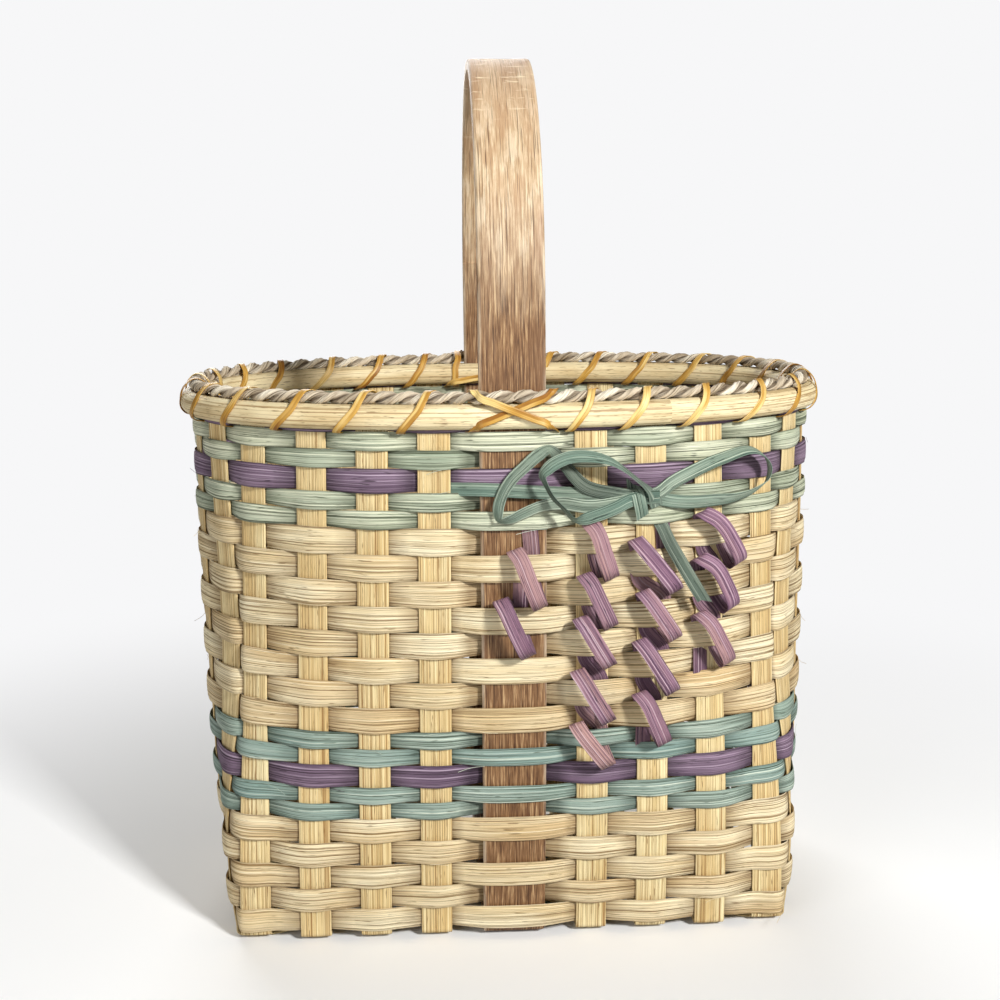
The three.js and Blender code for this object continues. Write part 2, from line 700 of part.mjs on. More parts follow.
// A curl column is one strip. At each row it runs down behind the row, comes out below, rolls up
// over the front from lower right to upper left, and tucks down behind the row again.
function makeCurls(column, number) {
  const upright = uprightAt(column.upright);
  const flat = upright.thick / 2 + CLEAR + 0.05 + CURL_THICK / 2;
  const route = [];
  const add = (sideways, z, out, tilt = 0) => {
    const lean = onUpright(column.upright, 1, z, 0).sub(onUpright(column.upright, 0, z, 0));
    lean.addScaledVector(UP, tilt * CURL_TILT);
    route.push({ place: onUpright(column.upright, sideways, z, out), lean });
  };
  const step = CURL_SIDE_STEP;
  column.rows.forEach((row, order) => {
    const { low, high } = ROWS[row];
    const middle = (low + high) / 2;
    const front = flat + 2 * CLEAR + CURL_THICK / 2 + WEAVER_THICK;
    add(step, high + (order === 0 ? CURL_HEAD : 0.5), flat);
    add(step, low - 0.3, flat);
    add(step + 1.4, low - 3.2, flat + 1.4, 0.5);
    add(step + 3.2, low - 6.4, front + CURL_REACH * 0.3, 1);
    add(step + 2.2, low - 4.6, front + CURL_REACH * 0.72, 1);
    add(0.4, middle - 0.8, front + CURL_REACH, 1);
    add(-step - 1.2, high + 2, front + CURL_REACH * 0.78, 1);
    add(-step - 3, high + 5, front + CURL_REACH * 0.36, 1);
    add(-step - 1.8, high + 3.8, flat + 2, 0.5);
    add(-step, high + 0.5, flat);
    add(-step, low - 1, flat);
  });
  const lastLow = ROWS[column.rows[column.rows.length - 1]].low;
  add(-step, lastLow - CURL_END, flat);
  const rings = stripRings(route, CURL_WIDTH, CURL_THICK);
  console.log(`curls_${number}: least gap to itself ${leastSelfGap(rings, CURL_THICK, 4).toFixed(2)} mm`);
  sweep(`curls_${number}`, rings, false, curlReed, true);
}
CURL_COLUMNS.forEach((column, index) => makeCurls(column, index + 1));

// The bow is two ribbons held on one stake by a band. The band's ends are tucked behind the rows
// above and below, and its lower end comes out again as the bow's tail. Steps are millimetres to
// the right of the knot, above it, and out from the stakes' middle.
function makeBow() {
  const knotZ = (ROWS[BOW.row].low + ROWS[BOW.row].high) / 2;
  const knotX = onUpright(BOW.upright, 0, knotZ, 0).x;
  const layer = BOW_THICK + CLEAR;
  const knot = (order) => STAKE_THICK / 2 + CLEAR + BOW_THICK / 2 + order * layer;
  const ribbon = (name, steps) => {
    const route = steps.map(([right, above, out]) => {
      const z = knotZ + above;
      const turn = frontTurn(knotX + right, z);
      const place = onRing(turn, z, out);
      return { place, normal: onRing(turn, z, out + 1).sub(place) };
    });
    const rings = route.map((step, index) => {
      const before = route[Math.max(0, index - 1)].place;
      const after = route[Math.min(route.length - 1, index + 1)].place;
      const heading = after.clone().sub(before).normalize();
      const across = step.normal.clone().cross(heading).normalize();
      return slab(step.place, across, heading.clone().cross(across), BOW_WIDTH, BOW_THICK);
    });
    sweep(name, rings, false, bowReed);
  };
  const anchor = (ROWS[BOW.row - 1].low + ROWS[BOW.row - 1].high) / 2 - 2 - knotZ;
  const anchorX = (turn) => onRing(turn, knotZ + anchor, 0).x - knotX;
  const onRow = HANDLE_THICK / 2 + WEAVER_THICK + 3 * CLEAR + BOW_THICK / 2;
  ribbon('bow_ribbon_long', [
    [anchorX(-1.2), anchor, -knot(0)],
    [anchorX(-0.75), anchor, -knot(0)],
    [anchorX(-0.25), anchor, onRow],
    [anchorX(0.25), anchor, onRow],
    [anchorX(0.75), anchor - 1, onRow],
    [-16, 3, knot(3)],
    [-9, 0, knot(0)],
    [9, 0, knot(0)],
    [20, -0.5, knot(3)],
    [32, -0.5, 4],
    [49, 3.6, 6],
    [60, 11, 8],
    [62, 18, 9],
    [55, 25, 9.5],
    [43, 23, 9.5],
    [26, 15, 8],
    [14, 6, 5],
    [8, 0.5, knot(1)],
    [-8, 0.5, knot(1)],
    [-16, 2, 4.2],
    [-31, 8, 5.4],
    [-42, 20, 6.5],
    [-50, 27, 7.5],
    [-57, 25, 8],
    [-66, 14, 8.5],
    [-73, -1, 9],
    [-71, -9, 8.7],
    [-60, -8, 8],
    [-45, 0, 7.4],
    [-16, 3.5, 5.6],
    [-8, 0.5, knot(2)],
    [8, 0.5, knot(2)],
  ]);
  ribbon('bow_ribbon_short', [
    [7, 0.3, knot(3)],
    [-7, 0, knot(3)],
    [-13, 6, 8],
    [-26, 20, 12],
    [-41, 21, 13.5],
    [-50, 14, 14],
    [-50, 4, 14],
    [-43, -5, 13.5],
    [-34, -9.5, 12.5],
    [-22, -7, 10],
    [-12, -1.5, 7],
    [-7, 0.1, knot(4)],
    [7, 0.1, knot(4)],
  ]);
  const rowAbove = ROWS[BOW.row - 1];
  const rowBelow = ROWS[BOW.row + 1];
  ribbon('bow_band_and_tail', [
    [0, rowAbove.high - 2 - knotZ, knot(0)],
    [0, rowAbove.low - 0.2 - knotZ, knot(0)],
    [0, BOW_WIDTH / 2 + 0.3, knot(5)],
    [0, -BOW_WIDTH / 2 - 0.5, knot(5)],
    [0.5, rowBelow.high + 0.9 - knotZ, knot(0)],
    [1, rowBelow.low - 0.4 - knotZ, knot(0)],
    [4, -20, 3.5],
    [12, -30, 8],
    [20, -42, 11],
    [29, -53, 12],
  ]);
}
makeBow();

// The divider's stakes stand in line with the handle. Each one's foot bends to a side, passes over
// the handle's board and tucks under the nearest stake of the base.
const PANEL_STAKES = [-1.5, -0.5, 0.5, 1.5];
const RAIL_LOW = ROWS[PANEL_RAIL.row].low + 0.7;
const RAIL_HIGH = ROWS[PANEL_RAIL.row].high - 0.7;
const PANEL_FOOT = HANDLE_Z + HANDLE_THICK / 2 + 2 * CLEAR + STAKE_THICK + 1.5;
const PANEL_PITCH = (RAIL_LOW - PANEL_FOOT) / PANEL_ROWS;

// Half depth of the wall's middle on the handle's line.
function halfDepth(z) {
  return Math.abs(onUpright(0, 0, z, 0).y);
}

function panelStakeY(place, z) {
  return place * BASE_PITCH * mix(1, halfDepth(RAIL_HIGH) / BASE_HALF_DEPTH, z / RAIL_HIGH);
}

PANEL_STAKES.forEach((place, index) => {
  const way = index % 2 === 0 ? 1 : -1;
  const overHandle = HANDLE_Z + HANDLE_THICK / 2 + CLEAR + PANEL_STAKE_THICK / 2;
  const underStake = STAKE_Z - STAKE_THICK / 2 - CLEAR - PANEL_STAKE_THICK / 2;
  const bend = 1.8;
  const steps = [
    [0, RAIL_HIGH], [0, overHandle + bend], [0.55, overHandle + 0.55], [bend, overHandle],
    [HANDLE_WIDTH / 2 + 1, overHandle], [FIRST_STAKE - STAKE_WIDTH / 2 - 0.5, underStake],
    [FIRST_STAKE + STAKE_WIDTH / 2 + 1, underStake], [FIRST_STAKE + STAKE_WIDTH / 2 + 7, STAKE_Z],
  ];
  const lean = new THREE.Vector3(0, 1, 0);
  const route = steps.map(([x, z]) => ({
    place: new THREE.Vector3(way * x, panelStakeY(place, z > PANEL_FOOT ? z : 0), z), lean,
  }));
  const rings = stripRings(route, PANEL_STAKE_WIDTH, PANEL_STAKE_THICK);
  sweep(`divider_stake_${index + 1}`, rings, false, stakeReed);
});

// A round reed at each end keeps the divider's turns close to the handle's legs.
function postY(z) {
  return halfDepth(z) - HANDLE_THICK / 2 - WEAVER_THICK - PANEL_WEAVER_THICK - PANEL_POST_RADIUS - 1.3;
}

for (const way of [-1, 1]) {
  const bends = uprightAt(0).frames.map((frame) => frame.z).filter((z) => z < RAIL_LOW - NARROW_ROW);
  const heights = [HANDLE_Z + HANDLE_THICK / 2 + CLEAR, ...bends.slice(1), RAIL_LOW - CLEAR];
  const rings = heights.map((z) => {
    const ring = [];
    for (let s = 0; s < 6; s += 1) {
      const angle = (s / 6) * 2 * Math.PI;
      const x = PANEL_POST_RADIUS * Math.cos(angle);
      const y = way * postY(z) + PANEL_POST_RADIUS * Math.sin(angle);
      ring.push(new THREE.Vector3(x, y, z));
    }
    return ring;
  });
  sweep(`divider_post_${way < 0 ? 'front' : 'back'}`, rings, false, stakeReed);
}

// One long strip is woven up the divider: across, round the post, and back in the next row.
function makePanelWeaver() {
  const rings = [];
  const height = PANEL_PITCH - ROW_GAP;
  const add = (x, yAt, low, nx, ny) => {
    const corners = [[-1, low], [1, low], [1, low + height], [-1, low + height]];
    rings.push(corners.map(([t, z]) => new THREE.Vector3(
      x + nx * t * PANEL_WEAVER_THICK / 2,
      yAt(z) + ny * t * PANEL_WEAVER_THICK / 2,
      z,
    )));
  };
  const flat = PANEL_STAKE_THICK / 2 + CLEAR + PANEL_WEAVER_THICK / 2;
  const round = PANEL_POST_RADIUS + CLEAR + PANEL_WEAVER_THICK / 2 + 0.3;
  const half = PANEL_STAKE_WIDTH / 2;
  // The strip's first face points to one side along a row and to the other side along the next.
  let face = 1;
  for (let row = 0; row < PANEL_ROWS; row += 1) {
    const low = PANEL_FOOT + row * PANEL_PITCH;
    const way = row % 2 === 0 ? 1 : -1;
    const order = way > 0 ? [0, 1, 2, 3] : [3, 2, 1, 0];
    let side = 1;
    for (const stake of order) {
      side = (stake + row) % 2 === 0 ? 1 : -1;
      for (const edge of [-way * half, way * half]) {
        add(side * flat, (z) => panelStakeY(PANEL_STAKES[stake], z) + edge, low, face, 0);
      }
    }
    if (row < PANEL_ROWS - 1) {
      for (const angle of [0, 45, 90, 135, 180]) {
        const turn = THREE.MathUtils.degToRad(angle);
        const [nx, ny] = [side * Math.cos(turn), way * Math.sin(turn)];
        const rise = low + PANEL_PITCH * mix(0.35, 0.65, angle / 180);
        const outer = face * side;
        add(nx * round, (z) => way * postY(z) + ny * round, rise, outer * nx, outer * ny);
      }
    }
    face = -face;
  }
  sweep('divider_weaver', rings, false, naturalReed);
}
makePanelWeaver();

// Two rails close the divider's top. Their ends turn out on the handle's legs, where they lie in
// the window between two rows that pass inside the leg.
for (const way of [1, -1]) {
  const middle = (RAIL_LOW + RAIL_HIGH) / 2;
  const flat = PANEL_STAKE_THICK + CLEAR;
  const onHandle = HANDLE_THICK / 2 + CLEAR + PANEL_STAKE_THICK / 2 + 0.2;
  const inside = Math.min(halfDepth(RAIL_LOW), halfDepth(RAIL_HIGH)) - onHandle;
  const front = [[HANDLE_WIDTH / 2 - 1, 0], [flat + 3, 0], [flat + 0.9, 0.9], [flat, 3]];
  const ends = front.map(([x, y]) => new THREE.Vector3(way * x, y - inside, middle));
  const back = ends.slice().reverse().map((place) => place.clone().setY(-place.y));
  const route = [...ends, ...back].map((place) => ({ place, lean: UP }));
  const rings = stripRings(route, RAIL_HIGH - RAIL_LOW, PANEL_STAKE_THICK);
  sweep(`divider_rail_${way > 0 ? 'right' : 'left'}`, rings, false, stakeReed);
}

export default group;
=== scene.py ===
# Divided splint basket: flat reed woven on stakes round a bent oak hoop, with a lashed rim, reed
# curls and a reed bow. The basket's lengths are in millimetres in the frame of the solids; those of
# the studio and of the finishes are in metres.
import math

import bpy
import numpy as np
from mathutils import Matrix, Vector


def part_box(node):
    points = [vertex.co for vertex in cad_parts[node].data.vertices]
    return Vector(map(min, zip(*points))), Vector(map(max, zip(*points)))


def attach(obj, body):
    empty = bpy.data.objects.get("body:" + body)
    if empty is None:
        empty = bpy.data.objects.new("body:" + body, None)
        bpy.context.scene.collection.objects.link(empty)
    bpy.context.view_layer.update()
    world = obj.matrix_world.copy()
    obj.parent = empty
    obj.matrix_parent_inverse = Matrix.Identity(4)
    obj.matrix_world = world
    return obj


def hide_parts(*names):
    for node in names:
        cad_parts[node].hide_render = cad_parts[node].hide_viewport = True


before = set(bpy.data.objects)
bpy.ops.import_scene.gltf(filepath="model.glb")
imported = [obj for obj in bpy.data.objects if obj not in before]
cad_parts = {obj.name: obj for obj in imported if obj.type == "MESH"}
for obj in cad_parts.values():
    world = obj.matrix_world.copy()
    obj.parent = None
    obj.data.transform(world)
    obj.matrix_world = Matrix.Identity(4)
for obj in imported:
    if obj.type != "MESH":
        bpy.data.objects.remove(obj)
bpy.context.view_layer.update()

# Camera. It looks at the basket's front from a little above the rim, and the basket is turned
# a few degrees to it. The lens is given in widths of the film.
MM = 0.001
CAMERA_DISTANCE = 811.3
CAMERA_SIDE = -0.6
CAMERA_HEIGHT = 367.5
CAMERA_TURN = math.radians(3.11)
CAMERA_TILT = math.radians(10.47)
CAMERA_ROLL = math.radians(-0.64)
FILM_WIDTH = 36
LENS_WIDTHS = 1.494
camera_data = bpy.data.cameras.new("camera")
camera_data.sensor_width = FILM_WIDTH
camera_data.lens = FILM_WIDTH * LENS_WIDTHS
camera = bpy.data.objects.new("camera", camera_data)
bpy.context.scene.collection.objects.link(camera)
about_basket = Matrix.Rotation(-CAMERA_TURN, 4, "Z")
camera_place = Vector((CAMERA_SIDE, -CAMERA_DISTANCE, CAMERA_HEIGHT)) * MM
look = Matrix.Rotation(math.radians(90) - CAMERA_TILT, 4, "X") @ Matrix.Rotation(CAMERA_ROLL, 4, "Z")
camera.matrix_world = about_basket @ Matrix.Translation(camera_place) @ look
bpy.context.scene.camera = camera

# Stakes. Flat reed strips cross in the base, bend up and stand in the wall as its uprights.
# They keep a yellower tone than the rows and are held only by the weave.
STAKE_WIDTH = 15.9
STAKE_THICK = 1.2
STAKE_CROWN = 0.22
STAKES_BESIDE_HANDLE = 4
SIDE_STAKES_FROM_CENTRE = 2
QUARTER = STAKES_BESIDE_HANDLE + SIDE_STAKES_FROM_CENTRE + 1
BACK = 2 * QUARTER
UPRIGHTS = 4 * QUARTER
CLEAR = 0.3
HANDLE_WIDTH = 32
HANDLE_THICK = 4
HANDLE_Z = STAKE_THICK + CLEAR + HANDLE_THICK / 2
HANDLE_FACE = HANDLE_Z + HANDLE_THICK / 2
BASE_GAP = 15.6
BASE_GAP_AT_HANDLE = 16.5
BASE_END_EDGE = 4
BASE_SIDE_EDGE = 9
BASE_BEND = 4
BASE_TURN = 2.6
RIM_GAP_AT_HANDLE = 13.5
RIM_PITCH = 29.5
RIM_SIDE_PITCH = 27
RIM_HALF_WIDTH = 162.5
RIM_HALF_DEPTH = 106
BELLY = 1
WIDTH_FLARE = 3
DEPTH_FLARE = 2.2
RIM_SQUARENESS = 2.3
BASE_SQUARENESS = 10
SQUARENESS_FALL = 5
TWIST_SHARE = 0.4
WALL_STEPS = 56
BASE_STEPS = 30
MERGE_WITHIN = 1e-6
SMOOTH_UNDER = math.radians(50)
BASE_PITCH = STAKE_WIDTH + BASE_GAP
FIRST_STAKE = HANDLE_WIDTH / 2 + BASE_GAP_AT_HANDLE + STAKE_WIDTH / 2
RIM_FIRST_STAKE = HANDLE_WIDTH / 2 + RIM_GAP_AT_HANDLE + STAKE_WIDTH / 2
LAST_STAKE = FIRST_STAKE + (STAKES_BESIDE_HANDLE - 1) * BASE_PITCH
BASE_HALF_WIDTH = LAST_STAKE + STAKE_WIDTH / 2 + BASE_END_EDGE
BASE_HALF_DEPTH = SIDE_STAKES_FROM_CENTRE * BASE_PITCH + STAKE_WIDTH / 2 + BASE_SIDE_EDGE
STAKE_Z = STAKE_THICK * 1.5 + CLEAR
WALL_FOOT = STAKE_Z + BASE_BEND
UP = np.array([0.0, 0.0, 1.0])
draws = np.random.default_rng(11)


def height_range(node):
    """Lowest and highest place of a solid."""
    low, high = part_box(node)
    return low.z / MM, high.z / MM


RIM_BOTTOM, RIM_TOP = height_range("rim_outer")
STAKE_TOP = RIM_TOP - 1


def mix(a, b, share):
    """A value on the way from one to another."""
    return a + (b - a) * share


def unit(vectors):
    """The same directions, each of length one."""
    return vectors / np.linalg.norm(vectors, axis=-1, keepdims=True)


def wall_outline(z):
    """Height share, half width, half depth and squareness of the wall at a height."""
    h = min(1.0, max(0.0, (z - WALL_FOOT) / (RIM_TOP - WALL_FOOT)))
    half_width = mix(RIM_HALF_WIDTH, BASE_HALF_WIDTH, (1 - h) ** WIDTH_FLARE)
    half_width += BELLY * math.sin(math.pi * h)
    half_depth = mix(RIM_HALF_DEPTH, BASE_HALF_DEPTH, (1 - h) ** DEPTH_FLARE)
    power = mix(RIM_SQUARENESS, BASE_SQUARENESS, (1 - h) ** SQUARENESS_FALL)
    return h, half_width, half_depth, power


def upright_facts(index):
    """Which way an upright faces, where it stands at base and rim, its width and thickness."""
    index %= UPRIGHTS
    front = min(index, UPRIGHTS - index)
    from_handle = min(front, BACK - front)
    faces_y = from_handle <= STAKES_BESIDE_HANDLE
    right = 1 if index <= BACK else -1
    rear = 1 if front > QUARTER else -1
    if from_handle == 0:
        return True, rear, 0.0, 0.0, HANDLE_WIDTH, HANDLE_THICK
    if faces_y:
        step = from_handle - 1
        base, rim = FIRST_STAKE + step * BASE_PITCH, RIM_FIRST_STAKE + step * RIM_PITCH
        return True, rear, right * base, right * rim, STAKE_WIDTH, STAKE_THICK
    step = rear * (QUARTER - from_handle)
    return False, right, step * BASE_PITCH, step * RIM_SIDE_PITCH, STAKE_WIDTH, STAKE_THICK


def upright_frame(index, z):
    """Middle of an upright at a height, the direction of its width and its outward direction."""
    faces_y, sign, base, rim = upright_facts(index)[:4]
    h, half_width, half_depth, power = wall_outline(z)
    along = mix(base, rim, h)
    half, other = (half_width, half_depth) if faces_y else (half_depth, half_width)
    across = sign * other * (1 - abs(along / half) ** power) ** (1 / power)
    x, y = (along, across) if faces_y else (across, along)

    def slope(value, size):
        return math.copysign(abs(value / size) ** (power - 1) / size, value)

    curved = unit(np.array([slope(x, half_width), slope(y, half_depth), 0.0]))
    straight = np.array([0.0, sign, 0.0]) if faces_y else np.array([sign, 0.0, 0.0])
    out = unit(mix(straight, curved, min(1.0, h / TWIST_SHARE)))
    return np.array([x, y, z]), np.array([-out[1], out[0], 0.0]), out


def on_upright(index, sideways, z, out):
    """A point beside and in front of an upright's middle at a height."""
    place, side, normal = upright_frame(index, z)
    return place + side * sideways + normal * out


def on_ring(turn, z, out):
    """A point round the wall: whole turns are uprights' middles, a quarter to a side their edges."""
    index = round(turn)
    part = turn - index
    width = upright_facts(index)[4]
    if abs(part) <= 0.25:
        return on_upright(index, part * 2 * width, z, out)
    way = 1 if part > 0 else -1
    near = on_upright(index, way * width / 2, z, out)
    far = on_upright(index + way, -way * upright_facts(index + way)[4] / 2, z, out)
    return mix(near, far, (abs(part) - 0.25) * 2)


def open_spline(points, spacing):
    """A smooth run of points through the given ones, about a spacing apart."""
    points = np.asarray(points, float)
    lengths = np.maximum(np.linalg.norm(np.diff(points[:, :3], axis=0), axis=1), 1e-6)
    slopes = np.diff(points, axis=0) / lengths[:, None]
    before, after = lengths[:-1, None], lengths[1:, None]
    inner = (slopes[:-1] * after + slopes[1:] * before) / (before + after)
    tangents = np.vstack([slopes[:1], inner, slopes[-1:]])
    run = []
    for k, length in enumerate(lengths):
        count = max(2, int(math.ceil(length / spacing)))
        t = np.linspace(0, 1, count, endpoint=False)[:, None]
        run.append((2 * t**3 - 3 * t**2 + 1) * points[k] + (t**3 - 2 * t**2 + t) * length * tangents[k]
                   + (3 * t**2 - 2 * t**3) * points[k + 1] + (t**3 - t**2) * length * tangents[k + 1])
    return np.vstack(run + [points[-1:]])


def closed_spline(points, steps):
    """A smooth closed curve through the points, in even steps between each two of them."""
    count = len(points)
    after = np.roll(points, -1, axis=0)
    spans = np.linalg.norm((after - points)[:, :3], axis=1)
    slopes = (after - points) / spans[:, None]
    matrix = np.zeros((count, count))
    for i in range(count):
        matrix[i, i - 1] += spans[i - 1]
        matrix[i, i] += 2 * (spans[i - 1] + spans[i])
        matrix[i, (i + 1) % count] += spans[i]
    bends = np.linalg.solve(matrix, 6 * (slopes - np.roll(slopes, 1, axis=0)))
    run = []
    for k in range(count):
        h = spans[k]
        x = (np.arange(steps) / steps * h)[:, None]
        m0, m1 = bends[k], bends[(k + 1) % count]
        run.append(m0 * (h - x) ** 3 / (6 * h) + m1 * x**3 / (6 * h)
                   + (points[k] / h - m0 * h / 6) * (h - x) + (after[k] / h - m1 * h / 6) * x)
    return np.vstack(run)


def reed_outline(width, thick, crown):
    """Section of a flat reed from the middle of its back: flat behind, a little domed in front."""
    half, back, front = width / 2, -thick / 2, thick / 2
    edge = min(0.3 * thick, 0.35)
    right = [(0.55 * half, back), (half - edge, back), (half, back + edge),
             (half, front - crown - edge), (half - edge, front - crown),
             (0.72 * half, front - 0.55 * crown), (0.36 * half, front - 0.15 * crown)]
    left = [(-a, t) for a, t in reversed(right)]
    return np.array([(0, back)] + right + [(0, front)] + left)


def strip_rings(middle, across, out, outline):
    """Places a section, or one section for each step, along a run."""
    outline = np.broadcast_to(outline, (len(middle),) + outline.shape[-2:])
    return (middle[:, None] + across[:, None] * outline[..., :1] + out[:, None] * outline[..., 1:])


def distances(points):
    """How far along a run each of its points lies."""
    return np.r_[0, np.cumsum(np.linalg.norm(np.diff(points, axis=0), axis=1))]


def lay_strip(name, rings, closed, painted_shade=0.0, tone=0.0):
    """Rolls a grid round the rings into one closed strip, with its length and girth in metres as UV."""
    count, sides = rings.shape[:2]
    spans = count if closed else count - 1
    bpy.ops.object.select_all(action="DESELECT")
    bpy.ops.mesh.primitive_grid_add(x_subdivisions=sides, y_subdivisions=spans, size=2)
    piece = bpy.context.object
    piece.name = name
    mesh = piece.data
    flat = np.empty(len(mesh.vertices) * 3, np.float32)
    mesh.vertices.foreach_get("co", flat)
    flat = flat.reshape(-1, 3)
    column = np.rint((flat[:, 0] + 1) / 2 * sides).astype(int)
    row = np.rint((flat[:, 1] + 1) / 2 * spans).astype(int)
    places = rings[row % count, column % sides] * MM
    mesh.vertices.foreach_set("co", places.astype(np.float32).ravel())
    looped = np.concatenate([rings, rings[:1]]) if closed else rings
    along = distances(looped.mean(1)) * MM
    girth = distances(np.concatenate([rings[0], rings[0][:1]])) * MM
    corners = np.empty(len(mesh.loops), np.int32)
    mesh.loops.foreach_get("vertex_index", corners)
    shift = draws.uniform(0, 9, 2)
    uv = np.stack([along[row[corners]] + shift[0], girth[column[corners]] + shift[1]], 1)
    mesh.uv_layers.active.data.foreach_set("uv", uv.astype(np.float32).ravel())
    # Each point keeps its painted shade, from 0 to 1, and its random tone, for the finishes to read.
    for label, values in (("painted_shade", painted_shade), ("tone", tone)):
        values = np.broadcast_to(values, (count, sides))[row % count, column % sides]
        mesh.attributes.new(label, "FLOAT", "POINT").data.foreach_set("value", values.astype(np.float32))
    bpy.ops.object.mode_set(mode="EDIT")
    bpy.ops.mesh.select_all(action="SELECT")
    bpy.ops.mesh.remove_doubles(threshold=MERGE_WITHIN)
    if not closed:
        bpy.ops.mesh.fill_holes(sides=0)
    bpy.ops.mesh.select_all(action="SELECT")
    bpy.ops.mesh.normals_make_consistent(inside=False)
    bpy.ops.object.mode_set(mode="OBJECT")
    bpy.ops.object.shade_smooth_by_angle(angle=SMOOTH_UNDER)
    return piece


def dress(piece, material, slot, *nodes):
    """Gives a piece its finish, lets it ride with the basket and stand for its solids."""
    piece.data.materials.clear()
    piece.data.materials.append(material)
    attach(piece, "root")
    if nodes:
        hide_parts(*nodes)


def paint(*levels):
    """A colour as the eye reads it, from 0 to 255, in the values that a shader takes."""
    shares = [level / 255 for level in levels]
    linear = [c / 12.92 if c < 0.04045 else ((c + 0.055) / 1.055) ** 2.4 for c in shares]
    return (*linear, 1.0)


def grey(value):
    """A strength as a colour."""
    return (value, value, value, 1.0)


def new_finish(name):
    """A new material with its node tree and its shader."""
    material = bpy.data.materials.new(name)
    material.use_nodes = True
    return material, material.node_tree, material.node_tree.nodes["Principled BSDF"]


def add_node(tree, kind, sockets, **settings):
    """Adds a node and fills its sockets with values or with other nodes' outputs."""
    node = tree.nodes.new(kind)
    for key, value in settings.items():
        setattr(node, key, value)
    for key, value in sockets.items():
        if isinstance(value, bpy.types.NodeSocket):
            tree.links.new(value, node.inputs[key])
        else:
            node.inputs[key].default_value = value
    return node


def streaks(tree, along, over, detail):
    """Noise drawn out along the grain: how many spots in a metre along it and over it."""
    where = add_node(tree, "ShaderNodeTexCoord", {}).outputs["UV"]
    spread = add_node(tree, "ShaderNodeMapping", {"Vector": where, "Scale": (along, over, 1)})
    noise = {"Vector": spread.outputs[0], "Scale": 1.0, "Detail": detail, "Roughness": 0.62}
    return add_node(tree, "ShaderNodeTexNoise", noise).outputs["Fac"]


def stored(tree, label):
    """What a strip carries at each of its points under a label."""
    return add_node(tree, "ShaderNodeAttribute", {}, attribute_name=label).outputs["Fac"]


def ramp(tree, factor, *stops):
    """Colours that a pattern passes through, each at its level."""
    node = add_node(tree, "ShaderNodeValToRGB", {"Fac": factor})
    elements = node.color_ramp.elements
    while len(elements) < len(stops):
        elements.new(0.5)
    for element, (level, colour) in zip(elements, stops):
        element.position = level
        element.color = colour
    return node.outputs["Color"]


def blend(tree, factor, first, second, mode="MIX"):
    """One colour mixed with another by a share or a pattern."""
    sockets = {0: factor, 6: first, 7: second}
    return add_node(tree, "ShaderNodeMix", sockets, data_type="RGBA", blend_type=mode).outputs[2]


def coat(tree, colour, layer, pattern, start, end, mode="MIX"):
    """Lays a colour over another as a pattern goes from one level and strength to the next."""
    mask = ramp(tree, pattern, *((level, grey(strength)) for level, strength in (start, end)))
    return blend(tree, mask, colour, layer, mode)


def colour_surface(tree, shader, colour, heights, strength, depth):
    """Gives a shader its colour, and a fine relief from a pattern of heights."""
    tree.links.new(colour, shader.inputs["Base Color"])
    relief = {"Height": heights, "Strength": strength, "Distance": depth}
    tree.links.new(add_node(tree, "ShaderNodeBump", relief).outputs[0], shader.inputs["Normal"])


def reed_material(name, pale, body, grain, stain, rough=0.6, patch=None, fine=1.0, line=None):
    """Split reed: long grooves, bright and dark fibres along the strip, stains, and painted shade where a
    strip stores it.
    """
    material, tree, shader = new_finish(name)
    pale, body, grain, stain = (paint(*levels) for levels in (pale, body, grain, stain))
    patch = paint(*patch) if patch else pale
    line = paint(*line) if line else grain
    grooves = streaks(tree, 3.0, 820 * fine, 4.0)
    fibres = streaks(tree, 14, 1700 * fine, 3.0)
    colour = ramp(tree, streaks(tree, 13, 80, 3.0), (0.36, body), (0.62, patch))
    colour = blend(tree, stored(tree, "tone"), colour, stain)
    colour = coat(tree, colour, stain, streaks(tree, 7, 34, 2.0), (0.48, 0), (0.68, 0.75))
    colour = coat(tree, colour, pale, grooves, (0.54, 0), (0.66, 0.85))
    colour = coat(tree, colour, line, fibres, (0.37, 0.8), (0.49, 0))
    colour = coat(tree, colour, line, grooves, (0.37, 1.0), (0.46, 0))
    colour = coat(tree, colour, grain, streaks(tree, 70, 900, 2.0), (0.3, 0.85), (0.38, 0))
    # Painted shade: the colour is multiplied towards the grain colour where a strip stores shade at its
    # points.
    colour = coat(tree, colour, grain, stored(tree, "painted_shade"), (0.3, 0), (1.0, 0.6), "MULTIPLY")
    heights = blend(tree, 0.45, ramp(tree, grooves, (0.34, grey(0)), (0.58, grey(1))), fibres)
    colour_surface(tree, shader, colour, heights, 0.8, 0.0007)
    dullness = ramp(tree, fibres, (0.3, grey(rough + 0.18)), (0.7, grey(rough)))
    tree.links.new(dullness, shader.inputs["Roughness"])
    shader.inputs["Specular IOR Level"].default_value = 0.35
    return material


stake_reed = reed_material("stake_reed", (250, 234, 184), (230, 203, 144), (142, 104, 56),
                           (222, 188, 126), fine=1.5, line=(164, 124, 72))


def wall_run(index, base_z, way):
    """Middle, width direction and outward direction of a stake from its top to the flat base."""
    frames = [upright_frame(index, z) for z in np.linspace(STAKE_TOP, WALL_FOOT, WALL_STEPS)]
    run = [(place, side * way, out) for place, side, out in frames]
    radius = min(WALL_FOOT - base_z, BASE_TURN)
    foot, side, out = frames[-1]
    foot = foot - UP * (WALL_FOOT - base_z - radius)
    run.append((foot, side * way, out))
    for angle in np.radians(np.arange(15, 91, 15)):
        outward = out * math.cos(angle) - UP * math.sin(angle)
        run.append((foot - out * radius + outward * radius, side * way, outward))
    return run


stake_section = reed_outline(STAKE_WIDTH, STAKE_THICK, STAKE_CROWN)


